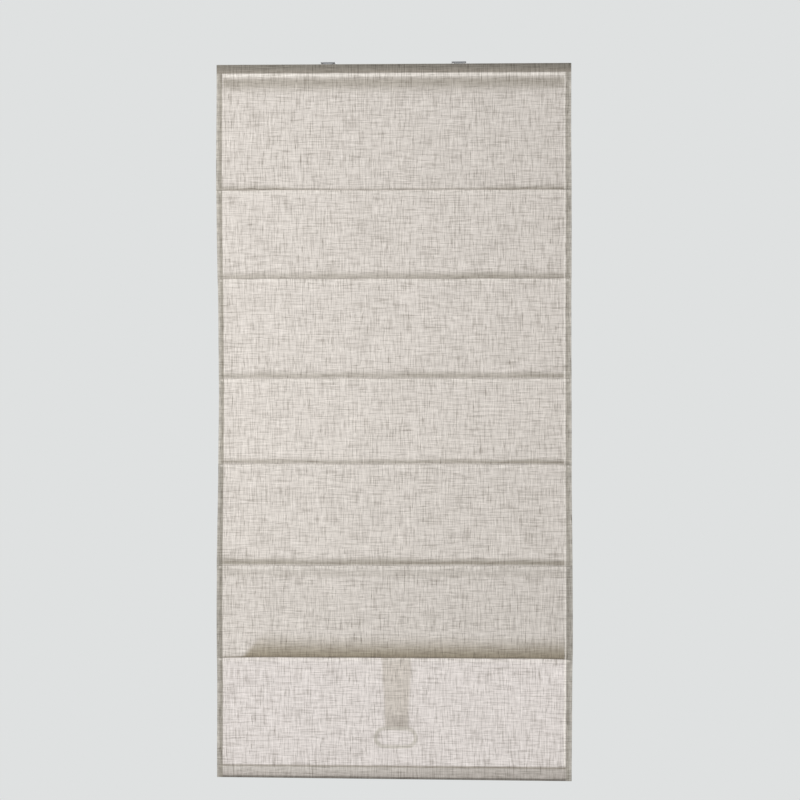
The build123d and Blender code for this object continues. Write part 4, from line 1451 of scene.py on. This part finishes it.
@dataclass(frozen=True)
class Shade:
    """The cloth of the blind, in the lengths that hang between its ribs."""

    effects: Effects
    hanging: Hanging
    relief: Relief
    painted_light: PaintedLight
    column_steps: Span = (0.7 * MM, 5.4 * MM)
    hem_profile: tuple[Point, ...] = (
        (0.1 * MM, 0.34 * MM), (0.6 * MM, 0.63 * MM), (4.0 * MM, 0.66 * MM),
        (8.0 * MM, 0.66 * MM), (12.2 * MM, 0.66 * MM), (13.0 * MM, 0.5 * MM),
    )
    cut_start: float = 0.31
    stitch_pitch: float = 4.2 * MM
    stitch_inset: float = 1.6 * MM
    stitch_end: float = 3.0 * MM
    stitch_lift: float = 0.02 * MM
    stitch_behind: float = 0.66 * MM
    seam_inset: float = 1.3 * MM
    hem_inset: float = 5.5 * MM
    stitch_half: float = 1.35 * MM
    stitch_wide: float = 0.24 * MM
    stitch_proud: float = 0.22 * MM
    stitch_sunk: float = 0.1 * MM
    stitch_shoulder: float = 0.55
    stitch_points: tuple[int, ...] = (0, 1, 5, 9)

    def rows(self, length: Length) -> list[Row]:
        """List the lines across one length, from its upper seam to its lower one.

        Args:
            length: The length of cloth.

        Returns:
            The rows.
        """
        rows: list[Row] = []
        for panel in length.panels:
            if panel > RAIL_PANEL:
                rows += self.hanging.tuck_rows(panel - 1)
            rows += self.hanging.panel_rows(panel)
        return rows + (self.hanging.hem_rows() if LAST_PANEL in length.panels else [])

    def weave(self, sheet: Sheet, rows: list[Row], columns: list[Point], start: float) -> float:
        """Add the cloth between the first and last row.

        Args:
            sheet: The sheet that it goes in.
            rows: Lines across the cloth, from top to bottom.
            columns: Places across it, each with its distance behind the middle of the cloth.
            start: Place of the first row along the flat cloth.

        Returns:
            Place of the last row along the flat cloth.
        """
        along = start
        sheet.faces += lattice(len(sheet.points), len(rows), len(columns))
        for index, row in enumerate(rows):
            before = rows[max(index - 1, 0)]
            along += hypot(row.y - before.y, row.z - before.z)
            for x, behind in columns:
                sheet.add(self.relief.place(row, x, behind), {
                    "cloth_flat": (x, along, 0.0),
                    "cloth_seams": (row.below, row.above, float(row.panel)),
                    # Painted shade and light for the cloth's material to read.
                    "cloth_bands": self.painted_light.band(row, x),
                    "cloth_folds": self.painted_light.fold(row, x),
                })
        return along

    def side_hems(self, sheet: Sheet, rows: list[Row]) -> None:
        """Add the turned edges behind the panels.

        Args:
            sheet: The sheet that they go in.
            rows: All rows of the length.
        """
        half = self.hanging.half_width
        runs: list[list[Row]] = [[]]
        for row in rows:
            if row.hemmed:
                runs[-1].append(row)
            elif runs[-1]:
                runs.append([])
        for run in (found for found in runs if len(found) > 1):
            for side in Side:
                columns = [(side.value * (half - inset), behind) for inset, behind in self.hem_profile]
                self.weave(sheet, run, columns[::-side.value], run[0].below)

    def stitches(self, length: Length) -> list[Stitch]:
        """List the stitches of one length: along its side hems, its seams and its bottom hem.

        Args:
            length: The length of cloth.

        Returns:
            The stitches.
        """
        found = []
        half, pitch = self.hanging.half_width, self.stitch_pitch
        lift = self.hanging.cloth / 2 + self.stitch_lift
        out, up, over = Vector((0, -lift, 0)), Vector((0, 0, 1)), Vector((1, 0, 0))
        for panel in length.panels:
            (_, top_z), (_, foot_z) = self.hanging.panel_ends(panel)
            drop = top_z - foot_z
            for side in Side:
                x = side.value * (half - self.hanging.side_hem + self.stitch_inset)
                for step in range(1, int(drop / pitch)):
                    row = self.hanging.panel_row(panel, step * pitch)
                    found.append(Stitch(Vector(self.relief.place(row, x)) + out, up, -1.0))
                    if row.hemmed:
                        behind = self.relief.place(row, x, self.stitch_behind + lift)
                        found.append(Stitch(Vector(behind), up, 1.0))
            inset = self.seam_inset if panel < LAST_PANEL else self.hanging.bottom_hem - self.hem_inset
            row = self.hanging.panel_row(panel, drop - inset)
            for step in range(int(2 * half / pitch)):
                x = -half + self.stitch_end + step * pitch
                if x < half - self.stitch_end:
                    found.append(Stitch(Vector(self.relief.place(row, x)) + out, over, -1.0))
        return found

    def sew(self, name: str, stitches: list[Stitch], thread: Material) -> Object:
        """Make the stitches of one length.

        Args:
            name: Name of the piece.
            stitches: The stitches.
            thread: The thread's material.

        Returns:
            The piece.
        """
        points, faces = [], []
        for stitch in stitches:
            reach = stitch.direction * self.stitch_half
            across = stitch.direction.cross(Vector((0, 1, 0))) * self.stitch_wide
            out = Vector((0, stitch.way, 0))
            tip, near, far, end = (len(points) + step for step in self.stitch_points)
            points.append(stitch.middle - reach - out * self.stitch_sunk)
            for share in (-self.stitch_shoulder, self.stitch_shoulder):
                centre = stitch.middle + reach * share
                corners = (across, out * self.stitch_proud, -across, -out * self.stitch_proud)
                points += [centre + corner for corner in corners]
            points.append(stitch.middle + reach - out * self.stitch_sunk)
            for turn in range(far - near):
                after = (turn + 1) % (far - near)
                faces.append((tip, near + turn, near + after))
                faces.append((near + turn, far + turn, far + after, near + after))
                faces.append((end, far + after, far + turn))
        return plain_piece(name, [tuple(point) for point in points], faces, thread)

    def hang(self, piece: Object, length: Length) -> None:
        """Attach a piece to its length's body where both ends share one; otherwise bake its place into its
        mesh.

        Args:
            piece: The cloth or its stitches.
            length: The length of cloth.
        """
        if length.upper_body == length.lower_body:
            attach(piece, length.upper_body)
            return
        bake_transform(piece)

    def build(self) -> None:
        """Make every length with its hems and stitches."""
        thread = SEWING_THREAD.build(self.effects)
        half = self.hanging.half_width
        columns = [(place - half, 0.0) for place in spaced(2 * half, *self.column_steps)]
        for length in LENGTHS:
            rows, sheet = self.rows(length), Sheet()
            start = self.cut_start * length.panels[0]
            run = self.weave(sheet, rows, columns, start) - start
            self.side_hems(sheet, rows)
            finish = ClothFinish(f"{length.name}_linen", length.behind, self.hanging)
            piece = sheet.finish(length.name, finish.build(self.effects), self.hanging.cloth)
            seams = self.sew(length.name.replace("cloth", "stitches"), self.stitches(length), thread)
            for made in (piece, seams):
                self.hang(made, length)
            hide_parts(*(f"shade_panel_{panel}" for panel in length.panels))
            log.info("%s: %d rows, %.0f mm of cloth", length.name, len(rows), run / MM)


@dataclass(frozen=True)
class Pull:
    """The cloth strap behind the last panel."""

    effects: Effects
    hanging: Hanging
    thickness: float = 0.8 * MM
    sewn_height: float = 14.0 * MM
    sewn_shares: Series = (0.0, 0.3, 0.65, 1.0)
    loop_height: float = 29.0 * MM
    narrow_height: float = 8.0 * MM
    loop_turn: Span = (170.0, 370.0)
    loop_steps: int = 12
    loop_end: float = 1.0 * MM
    end_half: float = 24.0 * MM
    ring_bar: float = 3.0 * MM
    clearance: float = 0.25 * MM
    lap: float = 1.1
    lap_ends: Span = (-2.0 * MM, 9.0 * MM)
    steps: int = 18
    across: Series = (
        -1.0, -0.97, -0.9, -0.7, -0.45, -0.2, 0.0, 0.2, 0.45, 0.7, 0.9, 0.97, 1.0
    )
    cup: float = 0.5 * MM
    cup_patches: Patches = Patches(1 / 1.3, 0.03, seed=7.0)
    cup_rise: float = 30.0 * MM
    cup_foot: float = 60.0 * MM
    covered: float = 1.75

    def section(self) -> list[Point]:
        """List the strap's line from its sewn end, round the handle's bar and back up to its own seam.

        Returns:
            The points, each as Y and Z.
        """
        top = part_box("pull_strap")[1][2]
        ring_low, ring_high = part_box("pull_handle")
        half, sewn = self.thickness / 2, top - self.sewn_height
        bar = ((ring_low[1] + ring_high[1]) / 2, ring_high[2] - self.ring_bar)
        seat = self.hanging.tucks[-1] + self.hanging.tuck_depth + half
        apex = bar[1] + self.loop_height - self.loop_end
        shares = [step / self.steps for step in range(1, self.steps + 1)]
        line = [(seat, top - share * self.sewn_height) for share in self.sewn_shares]
        line += [(seat + (bar[0] - half - seat) * share, sewn + (apex - sewn) * share) for share in shares]
        line += arc(bar, self.ring_bar + self.clearance + half, *self.loop_turn, self.loop_steps)
        return line + [(bar[0] + half * self.lap, apex + end) for end in self.lap_ends]

    def build(self) -> Object:
        """Make the strap.

        Returns:
            The piece.
        """
        low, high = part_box("pull_strap")
        middle, top_half = (low[0] + high[0]) / 2, (high[0] - low[0]) / 2
        line, sheet, along = self.section(), Sheet(), 0.0
        sewn = high[2] - self.sewn_height
        narrow_z = low[2] + self.loop_height + self.narrow_height
        for index, (y, z) in enumerate(line):
            before = line[max(index - 1, 0)]
            along += hypot(y - before[0], z - before[1])
            half = self.end_half + (top_half - self.end_half) * smooth(z, narrow_z, sewn)
            free = smooth(sewn - z, 0.0, self.cup_rise)
            free *= smooth(z - low[2], self.loop_height, self.cup_foot)
            for share in self.across:
                cup = abs(self.cup * free * self.cup_patches.read(share, z))
                sheet.add((middle + share * half, y + cup, z), {"cloth_flat": (share * half, along, 0.0)})
        sheet.faces = lattice(0, len(line), len(self.across))
        piece = sheet.finish("pull_strap_cloth", StrapFinish().build(self.effects), self.thickness)
        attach(piece, "rib_3")
        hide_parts("pull_strap")
        return piece


@dataclass(frozen=True)
class Cords:
    """The lift cords and the turns that stay on their spools."""

    finish: Material
    lift: float
    radius: float = 0.5 * MM
    turns: float = 3.0
    turn_steps: int = 36
    run_steps: int = 160
    sides: int = 8

    def tube(self, name: str, line: list[Vector]) -> Object:
        """Make a closed round cord along a line.

        Args:
            name: The piece's name.
            line: Points of its centre line.

        Returns:
            The piece.
        """
        points, faces = [], []
        for index, point in enumerate(line):
            ahead = line[min(index + 1, len(line) - 1)] - line[max(index - 1, 0)]
            frame = ahead.to_track_quat("Z", "X")
            for step in range(self.sides):
                turn = 2 * pi * step / self.sides
                points.append(tuple(point + frame @ Vector((cos(turn), sin(turn), 0)) * self.radius))
        for low in range(0, len(points) - self.sides, self.sides):
            for step in range(self.sides):
                after = (step + 1) % self.sides
                faces.append((low + step, low + after, low + self.sides + after, low + self.sides + step))
        faces.append(tuple(range(self.sides))[::-1])
        faces.append(tuple(range(len(points) - self.sides, len(points))))
        return plain_piece(name, points, faces, self.finish)

    def straight_run(self, side: Side) -> Object:
        """Make a cord from its spool to its stop; the piece keeps its length with the blind down, though the
        real cord shortens as the blind rises.

        Args:
            side: Which end of the blind.

        Returns:
            The piece.
        """
        word = side.name.lower()
        low, high = (Vector(corner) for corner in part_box(f"lift_cord_{word}"))
        x, y = (low.x + high.x) / 2, (low.y + high.y) / 2
        drop = high.z - low.z
        shares = [step / self.run_steps for step in range(self.run_steps + 1)]
        piece = self.tube(f"cord_run_{word}", [Vector((x, y, high.z - drop * share)) for share in shares])
        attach(piece, "headrail")
        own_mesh(piece)
        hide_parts(f"lift_cord_{word}")
        return piece

    def winding(self, side: Side) -> Object:
        """Make the turns that lie side by side on a spool.

        Args:
            side: Which end of the blind.

        Returns:
            The piece.
        """
        word = side.name.lower()
        low, high = (Vector(corner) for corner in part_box(f"cord_wrap_{word}"))
        centre = (low + high) / 2
        radius = (high.z - low.z) / 2 - self.radius
        width = high.x - low.x - 2 * self.radius
        count = int(self.turn_steps * self.turns)
        line = []
        for share in (step / count for step in range(count + 1)):
            turn = 2 * pi * self.turns * share
            around = Vector((side.value * width * (share - 0.5), radius * cos(turn), radius * sin(turn)))
            line.append(centre + around)
        piece = self.tube(f"cord_turns_{word}", line)
        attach(piece, "drive")
        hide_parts(f"cord_wrap_{word}")
        return piece

    def build(self) -> None:
        """Make both cords and both windings."""
        for side in Side:
            for piece in (self.straight_run(side), self.winding(side)):
                log.info("made %s", piece.name)


@dataclass(frozen=True)
class Hardware:
    """The rail, brackets, motor, battens and small parts, which keep their CAD shape."""

    effects: Effects

    def dress(self, frame: dict) -> dict[str, Material]:
        """Give each carried-over node its finish.

        Args:
            frame: The loaded frame.

        Returns:
            The small finishes' materials by slot.
        """
        materials = {finish.slot: finish.build(self.effects) for finish in SMALL_FINISHES}
        for part in frame["record"]["subparts"]:
            node, slot = frame["nodes"][part["node"]], part["material_slot"]
            if slot not in materials:
                continue
            if not node.material_slots:
                node.data.materials.append(materials[slot])
            for held in node.material_slots:
                held.material = materials[slot]
            log.info("%s is finished as %s", part["node"], slot)
        return materials


@dataclass(frozen=True)
class Lamp:
    """One soft lamp that points at the middle of the blind."""

    name: str
    place: Spot
    size: float
    power: float
    target: Spot = (0.0, 0.0, -0.75)

    def hang(self) -> None:
        """Hang the lamp."""
        light = bpy.data.lights.new(self.name, "AREA")
        light.shape = "DISK"
        light.size = self.size
        light.energy = self.power
        lamp = bpy.data.objects.new(self.name, light)
        bpy.context.scene.collection.objects.link(lamp)
        lamp.location = self.place
        ahead = Vector(self.target) - Vector(self.place)
        lamp.rotation_euler = ahead.to_track_quat("-Z", "Y").to_euler()


@dataclass(frozen=True)
class Studio:
    """The floor, the soft light and the camera."""

    floor_height: float = -2.3
    floor_half: float = 2.2
    floor_roughness: float = 0.9
    camera_place: Spot = (0.11, -3.315, -0.666)
    camera_turn: float = 1.652
    lens: float = 67.13
    sensor: float = 36.0
    shift_down: float = 0.0466
    pale: Colour = (223, 225, 225)
    around: Shares = (1.0, 1.0, 1.0, 1.0)
    around_strength: float = 0.62
    lamps: tuple[Lamp, ...] = (
        Lamp("key_lamp", (-1.9, -2.6, -0.1), size=1.6, power=36.0),
        Lamp("fill_lamp", (1.9, -2.6, -1.0), size=1.8, power=18.0),
        Lamp("back_lamp", (0.6, 2.4, -0.3), size=1.8, power=20.0),
    )

    def floor(self) -> None:
        """Make the plain pale floor."""
        half = self.floor_half
        surface = Surface("pale_floor")
        surface.set({"Base Color": self.pale, "Roughness": self.floor_roughness})
        corners = ((-half, -half), (half, -half), (half, half), (-half, half))
        points = [(x, y, self.floor_height) for x, y in corners]
        plain_piece("floor", points, [(0, 1, 2, 3)], surface.material)

    def world(self) -> None:
        """Make the even pale surroundings."""
        world = bpy.data.worlds.new("surroundings")
        bpy.context.scene.world = world
        world.use_nodes = True
        world.node_tree.nodes.clear()
        shading = Shading(world.node_tree)
        path = shading.node("ShaderNodeLightPath").outputs
        seen = shading.math("MAXIMUM", path["Is Camera Ray"], path["Is Transmission Ray"])
        surround = {"Color": self.around, "Strength": self.around_strength}
        around = shading.node("ShaderNodeBackground", surround)
        pale = shading.node("ShaderNodeBackground", {"Color": self.pale})
        mix = shading.node("ShaderNodeMixShader", {0: seen, 1: around.outputs[0], 2: pale.outputs[0]})
        shading.node("ShaderNodeOutputWorld", {"Surface": mix.outputs[0]})

    def camera(self) -> None:
        """Place the camera as the photograph's."""
        camera = bpy.data.objects.new("camera", bpy.data.cameras.new("camera"))
        bpy.context.scene.collection.objects.link(camera)
        camera.location = self.camera_place
        camera.rotation_euler = (radians(90), 0, radians(self.camera_turn))
        camera.data.lens = self.lens
        camera.data.sensor_width = self.sensor
        camera.data.shift_y = -self.shift_down
        bpy.context.scene.camera = camera

    def build(self) -> None:
        """Set up the whole studio."""
        self.floor()
        self.world()
        for lamp in self.lamps:
            lamp.hang()
        self.camera()
        bpy.context.scene.view_settings.view_transform = "Standard"


def main() -> None:
    """Load the frame, build each sub-assembly on it and set up the studio."""
    logging.basicConfig(level=logging.INFO, format="%(message)s")
    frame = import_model()
    hanging = Hanging.read()
    effects = Effects()
    materials = Hardware(effects).dress(frame)
    Shade(effects, hanging, Relief(hanging), PaintedLight(hanging)).build()
    strap = Pull(effects, hanging).build()
    log.info("made %s", strap.name)
    lift = sum(joint["range_m"][1] for joint in frame["joints"] if joint["name"].startswith("rib_"))
    Cords(materials["cord"], lift).build()
    Studio().build()


if __name__ == "__main__":
    main()
